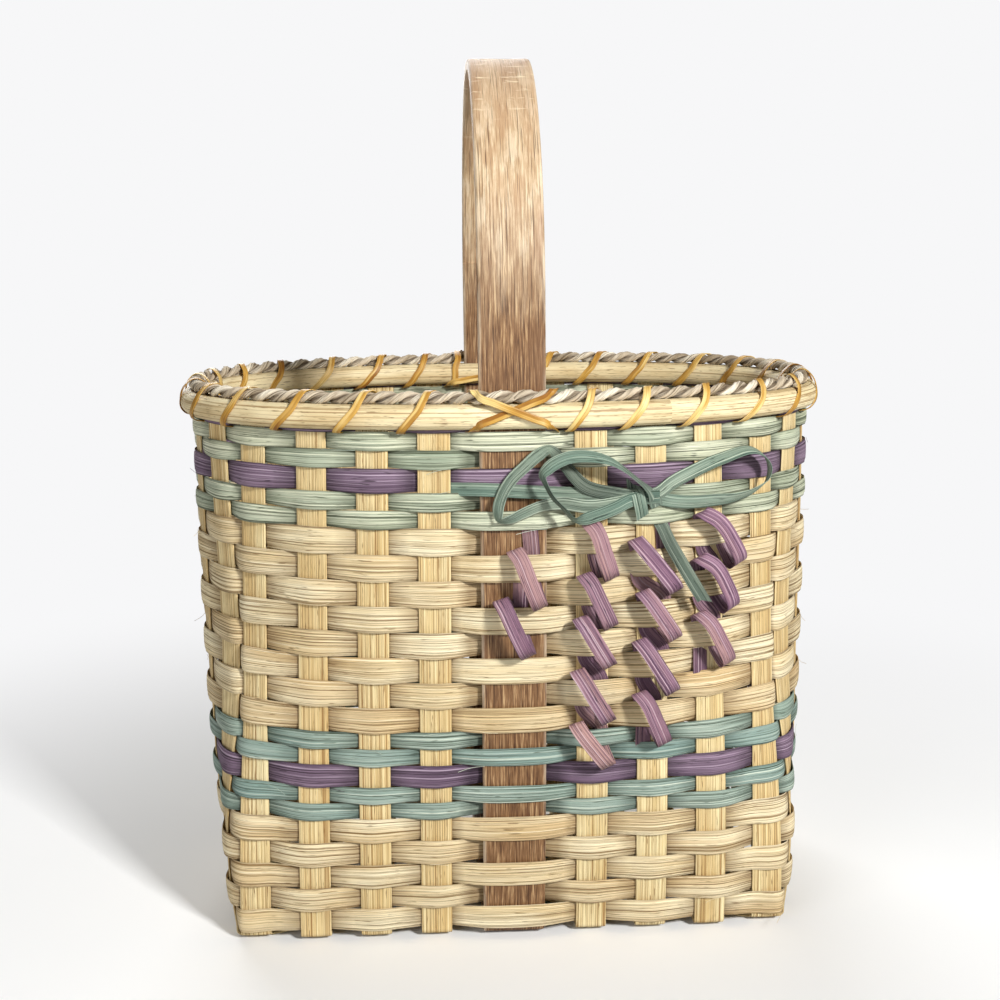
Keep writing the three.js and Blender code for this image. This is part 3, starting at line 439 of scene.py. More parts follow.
def lay_stake(name, run):
    """One stake from its middles, the directions of its width and its outward directions."""
    middle, across, out = (np.array(part) for part in zip(*run))
    rings = strip_rings(middle, across, out, stake_section)
    piece = lay_strip("reed_" + name, rings, False, tone=draws.uniform(0, 0.5))
    dress(piece, stake_reed, "stake_reed", name)


for right, side in ((1, "right"), (-1, "left")):
    for step in range(1, STAKES_BESIDE_HANDLE + 1):
        front = wall_run(right * step, STAKE_Z, 1)
        back = wall_run(BACK - right * step, STAKE_Z, -1)[::-1]
        start, end = front[-1][0], back[0][0]
        shares = np.linspace(0, 1, BASE_STEPS)[1:-1]
        under_base = [(mix(start, end, share), np.array([1.0, 0, 0]), -UP) for share in shares]
        lay_stake(f"stake_{side}_{step}", front + under_base + back)
for lane in range(-SIDE_STAKES_FROM_CENTRE, SIDE_STAKES_FROM_CENTRE + 1):
    crossings = []
    for step in range(STAKES_BESIDE_HANDLE, -STAKES_BESIDE_HANDLE - 1, -1):
        on_handle = step == 0
        top = HANDLE_FACE if on_handle else STAKE_Z + STAKE_THICK / 2
        z = STAKE_THICK / 2 if (step + lane) % 2 == 0 else top + CLEAR + STAKE_THICK / 2
        half = (HANDLE_WIDTH if on_handle else STAKE_WIDTH) / 2
        x = 0 if on_handle else math.copysign(FIRST_STAKE + (abs(step) - 1) * BASE_PITCH, step)
        crossings += [(x + side * half, lane * BASE_PITCH, z) for side in (1, 0, -1)]
    right_wall = wall_run(QUARTER + lane, crossings[0][2], 1)
    left_wall = wall_run(3 * QUARTER - lane, crossings[0][2], -1)[::-1]
    route = open_spline([right_wall[-1][0]] + crossings + [left_wall[0][0]], 4)[1:-1]
    under_base = [(place, np.array([0, 1.0, 0]), -UP) for place in route]
    number = lane + SIDE_STAKES_FROM_CENTRE + 1
    lay_stake(f"cross_stake_{number}", right_wall + under_base + left_wall)

# Handle hoop. One oak board, bent under the base, up inside the wall and over the top, where it is
# thicker for the hand. Its ends lap on the back leg, and use has rubbed the arch paler.
HANDLE_TOP = 452
GRIP_THICK = 6
ARCH_START = 332
LAP_TOP = 344.5
LAP_END = 299
LAP_STEP = 1.7
LAP_SHARPNESS = 0.02
EDGE_ROUND = 1.2
EDGE_CORNER = 0.35
RUBBED = (300 * MM, 410 * MM)
BARE_TOP = (400 * MM, 440 * MM)
BARE_EDGE = (14.2 * MM, 16 * MM)
depth = -upright_frame(0, RIM_TOP)[0][1]
foot = -upright_frame(0, WALL_FOOT)[0][1]
bend = WALL_FOOT - HANDLE_Z
rise = HANDLE_TOP - GRIP_THICK / 2 - ARCH_START
lap_turn = math.degrees(math.asin((LAP_TOP - ARCH_START) / rise))
half_loop = [(y, HANDLE_Z, HANDLE_THICK) for y in np.linspace(0, -(foot - bend), 16)]
for angle in np.radians([22, 45, 67]):
    y, z = -(foot - bend) - bend * math.sin(angle), WALL_FOOT - bend * math.cos(angle)
    half_loop.append((y, z, HANDLE_THICK))
for z in np.linspace(WALL_FOOT, RIM_TOP, 44):
    half_loop.append((upright_frame(0, z)[0][1], z, HANDLE_THICK))
for z in np.linspace(RIM_TOP, ARCH_START, 12)[1:-1]:
    half_loop.append((-depth, z, HANDLE_THICK))
step_turns = (lap_turn - LAP_SHARPNESS, lap_turn + LAP_SHARPNESS)
for turn in np.sort(np.r_[np.linspace(0, 90, 37), step_turns]):
    thick = mix(HANDLE_THICK, GRIP_THICK, min(1, turn / 45))
    angle = math.radians(turn)
    half_loop.append((-depth * math.cos(angle), ARCH_START + rise * math.sin(angle), thick))
loop = np.array(half_loop + [(-y, z, thick) for y, z, thick in reversed(half_loop[1:-1])])


def ring_heading(points):
    """The direction of a closed run at each of its points."""
    return unit(np.roll(points, -1, axis=0) - np.roll(points, 1, axis=0))


middle = np.stack([np.zeros(len(loop)), loop[:, 0], loop[:, 1]], 1)
across = np.tile([1.0, 0, 0], (len(loop), 1))
out = np.cross(across, ring_heading(middle))
half = HANDLE_WIDTH / 2
sections = []
for y, z, thick in loop:
    lapped = y > 0 and LAP_END < z < LAP_TOP
    lap = LAP_STEP * (z - LAP_END) / (LAP_TOP - LAP_END) if lapped else 0
    inner, outer = -thick / 2 - lap, thick / 2
    right = [(0.35 * half, inner), (0.7 * half, inner), (half - EDGE_ROUND, inner),
             (half - EDGE_CORNER, inner + EDGE_CORNER), (half, inner + EDGE_ROUND),
             (half, outer - EDGE_ROUND), (half - EDGE_CORNER, outer - EDGE_CORNER),
             (half - EDGE_ROUND, outer), (0.7 * half, outer), (0.35 * half, outer)]
    sections.append([(0, inner)] + right + [(0, outer)] + [(-a, t) for a, t in reversed(right)])
rings = strip_rings(middle, across, out, np.array(sections))
wobble = np.sin(middle[:, 2] * 0.11)[:, None] * np.sin(rings[..., 0] * 0.23) * 0.12
rings += out[:, None] * wobble[..., None]


def share_between(tree, value, low, high, **settings):
    """How far a value lies on the way from one level to another, from 0 to 1."""
    sockets = {"Value": value, "From Min": low, "From Max": high}
    return add_node(tree, "ShaderNodeMapRange", sockets, **settings).outputs["Result"]


oak, tree, shader = new_finish("oak")
rays = blend(tree, 0.3, streaks(tree, 62, 1250, 5.0), streaks(tree, 12, 620, 5.0))
worn = streaks(tree, 22, 90, 4.0)
blotches = streaks(tree, 34, 120, 4.0)
place = add_node(tree, "ShaderNodeTexCoord", {}).outputs["Object"]
sides = add_node(tree, "ShaderNodeSeparateXYZ", {0: place}).outputs
brown = ramp(tree, rays, (0.4, paint(76, 47, 26)), (0.46, paint(112, 77, 46)),
             (0.53, paint(144, 107, 70)), (0.6, paint(188, 154, 112)))
brown = coat(tree, brown, paint(118, 82, 50), blotches, (0.5, 0), (0.6, 0.5))
pale = ramp(tree, rays, (0.38, paint(158, 125, 89)), (0.44, paint(186, 155, 118)),
            (0.51, paint(206, 178, 142)), (0.59, paint(226, 204, 169)))
pale = coat(tree, pale, paint(182, 144, 106), blotches, (0.5, 0), (0.6, 0.6))
pale = coat(tree, pale, paint(238, 219, 188), blotches, (0.38, 0.5), (0.46, 0))
height = share_between(tree, sides["Z"], *RUBBED)
colour = coat(tree, brown, pale, blend(tree, 0.35, height, worn), (0.26, 0), (0.68, 1))
colour = coat(tree, colour, paint(86, 58, 34), streaks(tree, 26, 1500, 3.0), (0.36, 0.9), (0.43, 0))
top = share_between(tree, sides["Z"], *BARE_TOP)
bare = ramp(tree, worn, (0.4, paint(190, 150, 117)), (0.6, paint(220, 188, 153)))
colour = coat(tree, colour, bare, top, (0, 0), (1, 0.5))
aside = add_node(tree, "ShaderNodeMath", {0: sides["X"]}, operation="ABSOLUTE").outputs[0]
edge = share_between(tree, aside, *BARE_EDGE)
edge = blend(tree, 1.0, ramp(tree, worn, (0.4, grey(0)), (0.6, grey(0.7))), edge, "MULTIPLY")
colour = blend(tree, edge, colour, paint(240, 222, 194))
scratch = ramp(tree, streaks(tree, 360, 60, 3.0), (0.6, grey(0)), (0.66, grey(0.8)))
scratch = blend(tree, 1.0, scratch, ramp(tree, top, (0.3, grey(0)), (0.9, grey(1))), "MULTIPLY")
colour = blend(tree, scratch, colour, paint(255, 240, 206))
colour_surface(tree, shader, colour, rays, 0.5, 0.0006)
tree.links.new(ramp(tree, rays, (0.3, grey(0.62)), (0.7, grey(0.42))), shader.inputs["Roughness"])
dress(lay_strip("oak_hoop", rings, True), oak, "oak", "handle_hoop")

# Woven rows. Each row is one strip of flat reed that passes over one upright and under the next,
# pushed down on the row below. Two dyed bands, each of green strips round a plum one, break the straw.
WEAVER_THICK = 0.9
ROW_COUNT = 23
PLUM_ROWS = (0, 3, 16)
GREEN_ROWS = (1, 2, 4, 5, 14, 15, 17, 18)
DEEP_ROWS = {4: 0.2, 5: 0.2, 13: 0.3, 14: 0.45, 15: 0.5, 16: 0.3, 17: 0.5, 18: 0.45}
ROWS = [height_range(f"weaver_row_{row:02d}") for row in range(ROW_COUNT + 1)]
UPPER_BAND_END = 6
ROW_STEPS = 5
ROW_CLEAR = 0.18
ROW_CROWN = 0.36
FALSE_RIM_DROP = 1.9
FALSE_RIM_BULGE = 0.15
STAKE_BULGE = 1.15
HANDLE_BULGE = 0.9
CURL_ROOM = 0.9
BOW_ROOM = 0.7
CURL_COLUMNS = ((0, (7, 9)), (1, (6, 8, 10, 12, 14)), (2, (7, 9, 11, 13)), (3, (6, 8, 10)))
BOW_UPRIGHT = 2
BOW_ROW = 4
natural_reed = reed_material("natural_reed", (254, 242, 206), (235, 213, 166), (136, 108, 66),
                             (214, 180, 126), fine=1.25, line=(138, 110, 68))
sage_reed = reed_material("sage_reed", (238, 238, 210), (192, 195, 163), (78, 86, 64), (152, 168, 146),
                          fine=1.3)
green_reed = reed_material("green_reed", (230, 236, 216), (178, 190, 168), (70, 84, 68),
                           (126, 154, 147), fine=1.3)
plum_reed = reed_material("plum_reed", (196, 176, 192), (130, 107, 125), (58, 44, 54), (108, 84, 108),
                          patch=(158, 135, 154), fine=1.5)


def tuck_under(row, index):
    """How much further a row stands off an upright where a curl or the bow is tucked behind it."""
    index %= UPRIGHTS
    if any(index == column and row in (rows[0] - 2, *rows) for column, rows in CURL_COLUMNS):
        return CURL_ROOM
    if index == BOW_UPRIGHT and abs(row - BOW_ROW) == 1:
        return BOW_ROOM
    return BOW_ROOM if index == UPRIGHTS - 1 and row == BOW_ROW - 1 else 0.0


def weave_row(row):
    """One closed row, over one upright and under the next, a little uneven as by hand."""
    low, high = ROWS[row]
    if row == 0:
        low -= FALSE_RIM_DROP
    controls = []
    start = BACK + 1 + (row + 1) % 2
    for index in range(start, start + UPRIGHTS):
        width, thick = upright_facts(index)[4:]
        way = 1 if (row + index) % 2 == 1 else -1
        offset = way * (thick / 2 + WEAVER_THICK / 2 + ROW_CLEAR + tuck_under(row, index))
        bulge = STAKE_BULGE if thick == STAKE_THICK else HANDLE_BULGE
        if row == 0:
            bulge = FALSE_RIM_BULGE
        for part, push in ((-0.5, 0), (0, way * bulge), (0.5, 0)):
            ends = [on_upright(index, part * width, z, offset + push) for z in (low, high)]
            controls.append(np.concatenate([*ends, [offset + push]]))
    run = closed_spline(np.roll(controls, -1, axis=0), ROW_STEPS)
    lower, upper, offset = run[:, :3], run[:, 3:6], run[:, 6]
    middle, across = (lower + upper) / 2, unit(upper - lower)
    out = unit(np.cross(ring_heading(middle), across))
    count = np.arange(len(run))
    part = np.interp(count % (3 * ROW_STEPS) / ROW_STEPS, (0, 1, 2, 3), (0, 0.25, 0.75, 1))
    turn = count // (3 * ROW_STEPS) + part
    phase = draws.uniform(0, 6.28, 3)
    if row > 0:
        wave = 0.14 * np.sin(turn * 0.9 + phase[0]) + 0.08 * np.sin(turn * 2.3 + phase[1])
        middle = middle + UP * wave[:, None]
    half = np.linalg.norm(upper - lower, axis=1) / 2
    half = half + 0.08 - 0.42 * np.cos(math.pi * turn) + 0.06 * np.sin(turn * 5.1 + phase[2])
    section = reed_outline(2, WEAVER_THICK, ROW_CROWN)
    sections = np.broadcast_to(section, (len(run),) + section.shape).copy()
    sections[..., 0] *= half[:, None]
    dyed = row in PLUM_ROWS + GREEN_ROWS
    # Painted shade: darker where the row passes in behind an upright, and along both edges where it meets
    # the rows beside it, stronger on the dyed rows.
    painted_edge_shade = np.where(np.abs(section[:, 0]) > 0.9, 1.0 if dyed else 0.75, 0)
    painted_shade = np.maximum(np.clip(0.5 - offset / 2.6, 0, 1)[:, None], painted_edge_shade)
    name = f"weaver_row_{row:02d}"
    tone = draws.uniform(0, 0.25) + DEEP_ROWS.get(row, 0)
    rings = strip_rings(middle, across, out, sections)
    piece = lay_strip("reed_" + name, rings, True, painted_shade, tone)
    if row in PLUM_ROWS:
        dress(piece, plum_reed, "plum_reed", name)
    elif row in GREEN_ROWS:
        dress(piece, sage_reed if row < UPPER_BAND_END else green_reed, "green_reed", name)
    else:
        dress(piece, natural_reed, "natural_reed", name)


for row in range(ROW_COUNT + 1):
    weave_row(row)

# Rims. Two half round reeds clamp the stakes' tops, flat sides together, one outside and one
# inside. The ends of each are shaved thin and overlap, which leaves a fine step on its face.
RIM_FACE = 2.3
RIM_THICK = 5.5
RIM_STEPS = 4
RIM_LAP_TURNS = 1.6
INNER_STEP = 1.2
LEG_REACH = 0.75
rim_middle = (RIM_BOTTOM + RIM_TOP) / 2
rim_half = (RIM_TOP - RIM_BOTTOM) / 2


def from_leg(turn):
    """How far round the rim a place is from the nearer handle leg, in turns."""
    return abs(turn - round(turn / BACK) * BACK)


def inner_step(turn):
    """How far the inner rim stands in at a handle leg, behind the hidden top row."""
    return INNER_STEP * min(1.0, max(0.0, (LEG_REACH - from_leg(turn)) * 2))


def rim_run(way, start):
    """A rim's flat face as a closed curve from one upright's right edge, with its outward directions."""
    points = []
    for turn in (start + index + part for index in range(UPRIGHTS) for part in (0.25, 0.75, 1)):
        face = RIM_FACE + (inner_step(turn) if way < 0 else 0)
        points.append(on_ring(turn, rim_middle, way * face))
    run = closed_spline(np.array(points), RIM_STEPS)
    return run, np.cross(ring_heading(run), UP)


rim_reed, tree, shader = new_finish("rim_reed")
lines = streaks(tree, 5, 900, 4.0)
dashes = streaks(tree, 120, 1500, 2.0)
clouds = streaks(tree, 14, 70, 3.0)
colour = ramp(tree, clouds, (0.34, paint(214, 190, 141)), (0.62, paint(245, 230, 187)))
colour = coat(tree, colour, paint(158, 124, 78), lines, (0.38, 0.85), (0.48, 0))
colour = coat(tree, colour, paint(130, 100, 60), dashes, (0.33, 0.8), (0.42, 0))
colour_surface(tree, shader, colour, blend(tree, 0.4, lines, dashes), 0.4, 0.0004)
shader.inputs["Roughness"].default_value = 0.6
spread = np.cos(np.linspace(0, math.pi, 17))
for name, way, splice, step in (("rim_outer", 1, 2, 0.6), ("rim_inner", -1, 13, 1.2)):
    run, out = rim_run(way, splice)
    from_end = 1 - np.arange(len(run)) / len(run)
    lap = step * np.clip(1 - from_end * UPRIGHTS / RIM_LAP_TURNS, 0, 1)
    sections = []
    for extra in lap:
        dome = [(rim_half * v, (RIM_THICK + extra) * (1 - abs(v) ** 2.5) ** 0.5) for v in spread]
        sections.append([(0, 0), (0.6 * rim_half, 0), *dome[:-1], (-rim_half, 0), (-0.6 * rim_half, 0)])
    rings = strip_rings(run, np.tile(UP, (len(run), 1)), out * way, np.array(sections))
    dress(lay_strip("reed_" + name, rings, True), rim_reed, "rim_reed", name)

# Rim rope. Two plies of twisted seagrass lie in the valley on top of the rims and pass outside the
# handle's legs. The lashing holds them down.
ROPE_RADIUS = 3.25
PLY_RADIUS = 1.75
PLY_REACH = 1.6
ROPE_LAY = 22.5
ROPE_REST = 2.7
ROPE_LIFT = 3.5
ROPE_SWERVE = 0.48


def rope_middle(turn):
    """How far out and how high the rope's middle lies at a place round the rim."""
    share = min(1.0, max(0.0, (LEG_REACH - from_leg(turn)) / ROPE_SWERVE))
    share = share * share * (3 - 2 * share)
    out = (HANDLE_THICK / 2 + CLEAR + ROPE_RADIUS) * share
    return out, RIM_TOP + mix(ROPE_REST, ROPE_LIFT, share)


seagrass, tree, shader = new_finish("seagrass")
blades = streaks(tree, 14, 900, 3.0)
fuzz = streaks(tree, 60, 3000, 3.0)
colour = ramp(tree, streaks(tree, 26, 50, 3.0), (0.36, paint(158, 140, 114)),
              (0.5, paint(208, 192, 166)), (0.62, paint(240, 230, 208)))
colour = coat(tree, colour, paint(92, 74, 50), blades, (0.36, 0.9), (0.47, 0))
colour = coat(tree, colour, paint(120, 102, 74), fuzz, (0.34, 0.6), (0.48, 0))
# Painted shade in the valleys where the two plies meet.
colour = coat(tree, colour, paint(104, 82, 56), stored(tree, "painted_shade"), (0.3, 0), (0.8, 0.65), "MULTIPLY")
colour_surface(tree, shader, colour, blend(tree, 0.3, blades, fuzz), 0.7, 0.0006)
shader.inputs["Roughness"].default_value = 0.7
points = []
for turn in np.arange(0, UPRIGHTS, 0.25):
    rope_out, rope_z = rope_middle(turn)
    place = on_ring(turn, RIM_TOP, rope_out)
    points.append([place[0], place[1], rope_z])
core = closed_spline(np.array(points), 6)
heading = ring_heading(core)
rope_out = unit(np.cross(heading, UP))
rope_up = np.cross(rope_out, heading)
length = distances(np.vstack([core, core[:1]]))
laps = round(length[-1] / ROPE_LAY)
around = np.linspace(0, 2 * math.pi, 18, endpoint=False)
# Painted shade on the side of each ply that faces the rope's core and the other ply.
between = np.clip(0.5 - 0.75 * np.sin(around), 0, 1)
for ply in (0, 1):
    angle = 2 * math.pi * laps * length[:-1] / length[-1] + ply * math.pi
    spoke = rope_out * np.cos(angle)[:, None] + rope_up * np.sin(angle)[:, None]
    middle = core + spoke * PLY_REACH
    ply_heading = ring_heading(middle)
    across = unit(np.cross(spoke, ply_heading))
    out = np.cross(ply_heading, across)
    swell = 1 + 0.07 * np.sin(length[:-1] / 31 + ply * 2) + 0.05 * np.sin(length[:-1] / 9.3 + ply)
    lobes = PLY_RADIUS * (1 + 0.13 * np.cos(5 * around[None] + 0.3 * length[:-1, None]))
    radius = lobes * swell[:, None]
    sections = np.stack([radius * np.cos(around), radius * np.sin(around)], 2)
    rings = strip_rings(middle, across, out, sections)
    piece = lay_strip(f"seagrass_ply_{ply + 1}", rings, True, between)
    dress(piece, seagrass, "seagrass", *(["rim_rope"] if ply == 0 else []))

# Lashing. Two strands of smooth binding cane go round rims and rope once in each gap between
# stakes. Each starts at a handle leg, where it crosses itself in front before it goes on.
CANE_WIDTH = 3.7
CANE_THICK = 0.55
CANE_CLEAR = 0.35
CANE_CROWN = 0.16
CANE_SPACING = 1.6
CANE_TURN = 2.4
CANE_EASE = 0.5
CANE_LOW = 2.2
CANE_UNDER = 0.45
OVER_ROPE = 1.6
OVER_ROPE_EASE = 0.35
CANE_FACE = RIM_FACE + RIM_THICK + CANE_CLEAR
CROSS_FACE = HANDLE_THICK / 2 + CLEAR + 2 * ROPE_RADIUS + CANE_CLEAR + 0.3
CANE_ROUND = (("out_bottom", 0), ("out_low", 0.08), ("out_middle", 0.19), ("out_high", 0.29),
              ("shoulder_out", 0.37), ("top_out", 0.43), ("top_in", 0.49), ("shoulder_in", 0.55),
              ("in_high", 0.63), ("in_middle", 0.74), ("in_low", 0.86), ("in_bottom", 0.98))


def ring_side(turn, z):
    """The direction to the right round the wall at a place."""
    return unit(on_ring(turn + 0.02, z, 0) - on_ring(turn - 0.02, z, 0))


def cane_point(turn, z, out, lean=None):
    """A point of the cane, with the direction its width leans to."""
    return np.concatenate([on_ring(turn, z, out), ring_side(turn, z) if lean is None else lean])


def cane_station(turn, station):
    """A point of the cane's way round the rim, from the outside bottom over to the inside bottom."""
    rope_out, rope_z = rope_middle(turn)
    inside = CANE_FACE + inner_step(turn)
    over = rope_z + ROPE_RADIUS + CANE_CLEAR
    out, z = {
        "out_bottom": (CANE_FACE - CANE_TURN, RIM_BOTTOM - CANE_UNDER),
        "out_low": (CANE_FACE - CANE_EASE, RIM_BOTTOM + CANE_LOW),
        "out_middle": (CANE_FACE, rim_middle),
        "out_high": (CANE_FACE - CANE_EASE, RIM_TOP - CANE_TURN),
        "shoulder_out": (max(CANE_FACE - CANE_TURN, rope_out + 2.9), RIM_TOP + CANE_TURN),
        "top_out": (rope_out + OVER_ROPE, over - OVER_ROPE_EASE),
        "top_in": (rope_out - OVER_ROPE, over - OVER_ROPE_EASE),
        "shoulder_in": (min(CANE_TURN - inside, rope_out - 3.4), RIM_TOP + CANE_TURN),
        "in_high": (CANE_EASE - inside, RIM_TOP - CANE_TURN),
        "in_middle": (-inside, rim_middle),
        "in_low": (CANE_EASE - inside, RIM_BOTTOM + CANE_LOW),
        "in_bottom": (CANE_TURN - inside, RIM_BOTTOM - CANE_UNDER),
    }[station]
    return cane_point(turn, z, out)


def run_strip(route, width, thick, crown, spacing, upright=False):
    """Rings of a flat strip along a route of points, each with the direction its width leans to.
    An upright strip keeps that direction where it climbs; any other tilts with its route."""
    run = open_spline(route, spacing)
    middle = run[:, :3]
    heading = unit(np.gradient(middle, axis=0))
    lean = run[:, 3:6]
    across = unit(lean if upright else lean - heading * (lean * heading).sum(1, keepdims=True))
    out = unit(np.cross(heading, across))
    return strip_rings(middle, across, out, reed_outline(width, thick, crown))


def lash(name, leg):
    """One strand: it crosses itself in front of a handle leg, then winds on round half of the rim."""
    route = []

    def add(turn, *stations):
        route.extend(cane_station(leg + turn, station) for station in stations)

    def under(turn, flat):
        """From beneath the rims to the outer rim's lower edge, or back."""
        way = on_ring(leg + turn, RIM_BOTTOM, 1) - on_ring(leg + turn, RIM_BOTTOM, 0)
        for aside, z, out, fall in ((0.1, -0.4, CANE_FACE - 5, 0), (0, 0.9, CANE_FACE - 2.1, 0.8)):
            place = leg + turn + math.copysign(aside, turn)
            route.append(cane_point(place, RIM_BOTTOM + z, out, (way + UP * fall) * flat))

    def slant(lean, *steps):
        """Up over the outer rim at a slant, in steps of turn, share of the height and lift."""
        for turn, share, lift in steps:
            out = mix(CANE_FACE, CROSS_FACE, min(1.0, share * 1.6)) + lift
            route.append(cane_point(leg + turn, mix(RIM_BOTTOM + 1, RIM_TOP + 5, share), out, lean))

    under(-0.3, -1)
    slant(-UP, (-0.26, 0.1, -0.1), (-0.14, 0.29, 0), (0.0, 0.52, 0), (0.14, 0.75, 0),
          (0.25, 0.93, -0.5), (0.3, 1.02, -1.6))
    add(0.36, "top_out")
    add(0.4, "top_in", "shoulder_in")
    add(0.47, "in_high", "in_middle", "in_low")
    add(0.46, "in_bottom")
    under(0.3, 1)
    slant(UP, (0.26, 0.1, -0.1), (0.15, 0.28, 0.5), (0.07, 0.41, 0.9), (-0.07, 0.64, 0.9),
          (-0.15, 0.77, 0.5), (-0.25, 0.93, -0.5), (-0.29, 1.02, -1.6))
    add(-0.34, "top_out")
    add(-0.36, "top_in", "shoulder_in", "in_high")
    inside = CANE_FACE + inner_step(leg)
    for turn, share, lift in ((-0.25, 0.35, 0.1), (0.0, 0.62, 0.1), (0.22, 0.9, 0.2),
                              (0.36, 1, 0.6), (0.47, 1.04, 0.9)):
        z = mix(RIM_TOP - CANE_TURN, RIM_BOTTOM + CANE_LOW, share)
        route.append(cane_point(leg + turn, z, -inside - lift, UP))
    add(0.62, "in_bottom")
    for lap in range(BACK - 1):
        start = 0.65 if lap == 0 else lap + 0.5
        for station, share in CANE_ROUND[:-1] if lap == BACK - 2 else CANE_ROUND:
            add(mix(start, lap + 1.5, share), station)
    rings = run_strip(route, CANE_WIDTH, CANE_THICK, CANE_CROWN, CANE_SPACING)
    dress(lay_strip("cane_" + name, rings, False), cane, "cane", name)


cane, tree, shader = new_finish("cane")
lines = streaks(tree, 8, 1400, 3.0)
colour = ramp(tree, streaks(tree, 20, 60, 3.0), (0.36, paint(150, 100, 42)),
              (0.5, paint(200, 154, 72)), (0.64, paint(236, 208, 138)))
colour = coat(tree, colour, paint(136, 88, 34), lines, (0.35, 0.7), (0.47, 0))
colour_surface(tree, shader, colour, lines, 0.2, 0.0003)
shader.inputs["Roughness"].default_value = 0.4
shader.inputs["Specular IOR Level"].default_value = 0.2
lash("lashing_right", 0)
lash("lashing_left", BACK)

# Curls. In each column one thin dyed strip runs down a stake. At every second row it comes out
# below the row, rolls up over the front and is tucked behind the row again, each one differently.
CURL_WIDTH = 7.9
CURL_THICK = 0.55
CURL_CROWN = 0.1
CURL_SPACING = 1.0
CURL_REACH = 10.5
CURL_CLEAR = 0.35
CURL_GAP = 0.6
CURL_LEAN = 0.45
CURL_HEADS = (15.5, -4, 15.5, -4)
CURL_TAILS = (-3, -3, 11.5, 14)
# Of each curl: its top's place to a side and over the row, its foot's to a side and under it,
# how tan it is, and how far it swings out to the right
CURL_ENDS = (
    ((-0.3, 4, 12.5, 12.5, 0.7, 0.6), (-7.2, 5.5, 6.8, 10.9, 0.1, 0)),
    ((-2.4, 2.8, 8.6, 12.5, 0.5, 0.4), (-5.5, 3.6, 8.2, 11, 0.2, 0.4), (-7.5, 8, 7.6, 5, 0, 0),
     (-8.9, 7, 7.5, 8, 0.1, 0), (-9.3, 5.1, 7.5, 10, 1, 0)),
    ((-11, 6.9, 9.9, 8.2, 0, 0), (-7.3, 6.5, 9.5, 6.5, 0, 0), (-9.2, 7.8, 8.6, 7.9, 0, 0),
     (-9.1, 6.5, 4.5, 8.4, 0.2, 0.5)),
    ((-8.3, 4.6, 11, 11, 0, 4), (-10, 8, 6.9, 7.5, 0, 3.6), (-10, 5.8, 6, 9.5, 0.1, 0.8)),
)
curl_reed = reed_material("curl_reed", (216, 192, 198), (124, 90, 112), (50, 32, 52), (196, 154, 146),
                          rough=0.48, patch=(160, 122, 142), fine=1.4, line=(92, 62, 86))
for number, (index, rows) in enumerate(CURL_COLUMNS, 1):
    flat = upright_facts(index)[5] / 2 + CURL_CLEAR + CURL_THICK / 2
    front = flat + CURL_GAP + CURL_THICK / 2 + WEAVER_THICK
    route = []

    def add(sideways, z, out, turned=0, shade=0):
        lean = on_upright(index, 1, z, 0) - on_upright(index, 0, z, 0) + UP * turned * CURL_LEAN
        route.append(np.concatenate([on_upright(index, sideways, z, out), lean, [tan, shade]]))

    for row, (top, over, foot, under, tan, swing) in zip(rows, CURL_ENDS[number - 1]):
        low, high = ROWS[row]
        if row == rows[0]:
            add(foot - 5, high + CURL_HEADS[number - 1], flat)
        if row != rows[0] or CURL_HEADS[number - 1] > 0:
            add(foot - 3.8, high + 0.5, flat)
        add(foot - 3.6, low - 0.3, flat)
        add(foot - 2, low - under * 0.5, flat + 1.6, 0.6)
        add(foot, low - under, front + CURL_REACH * 0.3, 1, 0.8)
        add(foot - 1.1 + swing * 0.4, low - under + 1.9, front + CURL_REACH * 0.72, 1, 0.6)
        add(mix(foot, top, 0.5) + swing, mix(low - under, high + over, 0.5), front + CURL_REACH, 1)
        add(top + 1.9 + swing * 0.9, high + over - 3, front + CURL_REACH * 0.78, 1 + swing * 0.15)
        add(top, high + over, front + CURL_REACH * 0.36, 0.8, 0.4)
        add(top + 1.2, high + over - 1.2, flat + 2, 0.5)
        add(top + 3.2, high + 0.5, flat)
        if row != rows[-1]:
            add(top + 3.8, low - 1, flat)
    add(top + 4, low - CURL_TAILS[number - 1], flat)
    rings = run_strip(route, CURL_WIDTH, CURL_THICK, CURL_CROWN, CURL_SPACING)
    # Painted shade: the strip's front face is darkened, which shows on the flat runs against the stake and
    # inside each loop, and the shade given at each step darkens the loops by their feet and tops.
    painted_side_shade = np.where(reed_outline(CURL_WIDTH, CURL_THICK, CURL_CROWN)[:, 1] > 0, 0.65, 0)
    run = open_spline(route, CURL_SPACING)
    painted_shade = np.maximum(run[:, 7:], painted_side_shade)
    piece = lay_strip(f"reed_curls_{number}", rings, False, painted_shade, run[:, 6:7])
    dress(piece, curl_reed, "curl_reed", f"curls_{number}")

# Bow. Two thin dyed ribbons are looped and held on one stake by a band. The band's ends are tucked
# behind the rows above and below, and the lower end comes out again as the tail.
BOW_WIDTH = 6.6
BOW_THICK = 0.45
BOW_CROWN = 0.08
BOW_SPACING = 1.2
BOW_GAP = 0.25
BOW_OFF_ROW = 1.5
bow_reed = reed_material("bow_reed", (210, 220, 198), (106, 126, 108), (30, 44, 34), (98, 132, 120),
                         rough=0.5, patch=(168, 180, 160), fine=1.4, line=(62, 80, 66))
knot_z = sum(ROWS[BOW_ROW]) / 2
knot_x = on_upright(BOW_UPRIGHT, 0, knot_z, 0)[0]


def front_turn(x, z):
    """The place round the front wall, in turns, of a distance to the right of the handle's middle."""
    low, high = -4.5, 4.5
    for _ in range(40):
        middle_turn = (low + high) / 2
        if on_ring(middle_turn, z, 0)[0] < x:
            low = middle_turn
        else:
            high = middle_turn
    return low


def knot(order):
    """How far out from a stake the middle of one of the layers at the knot lies."""
    return STAKE_THICK / 2 + CLEAR + BOW_THICK / 2 + order * (BOW_THICK + BOW_GAP)


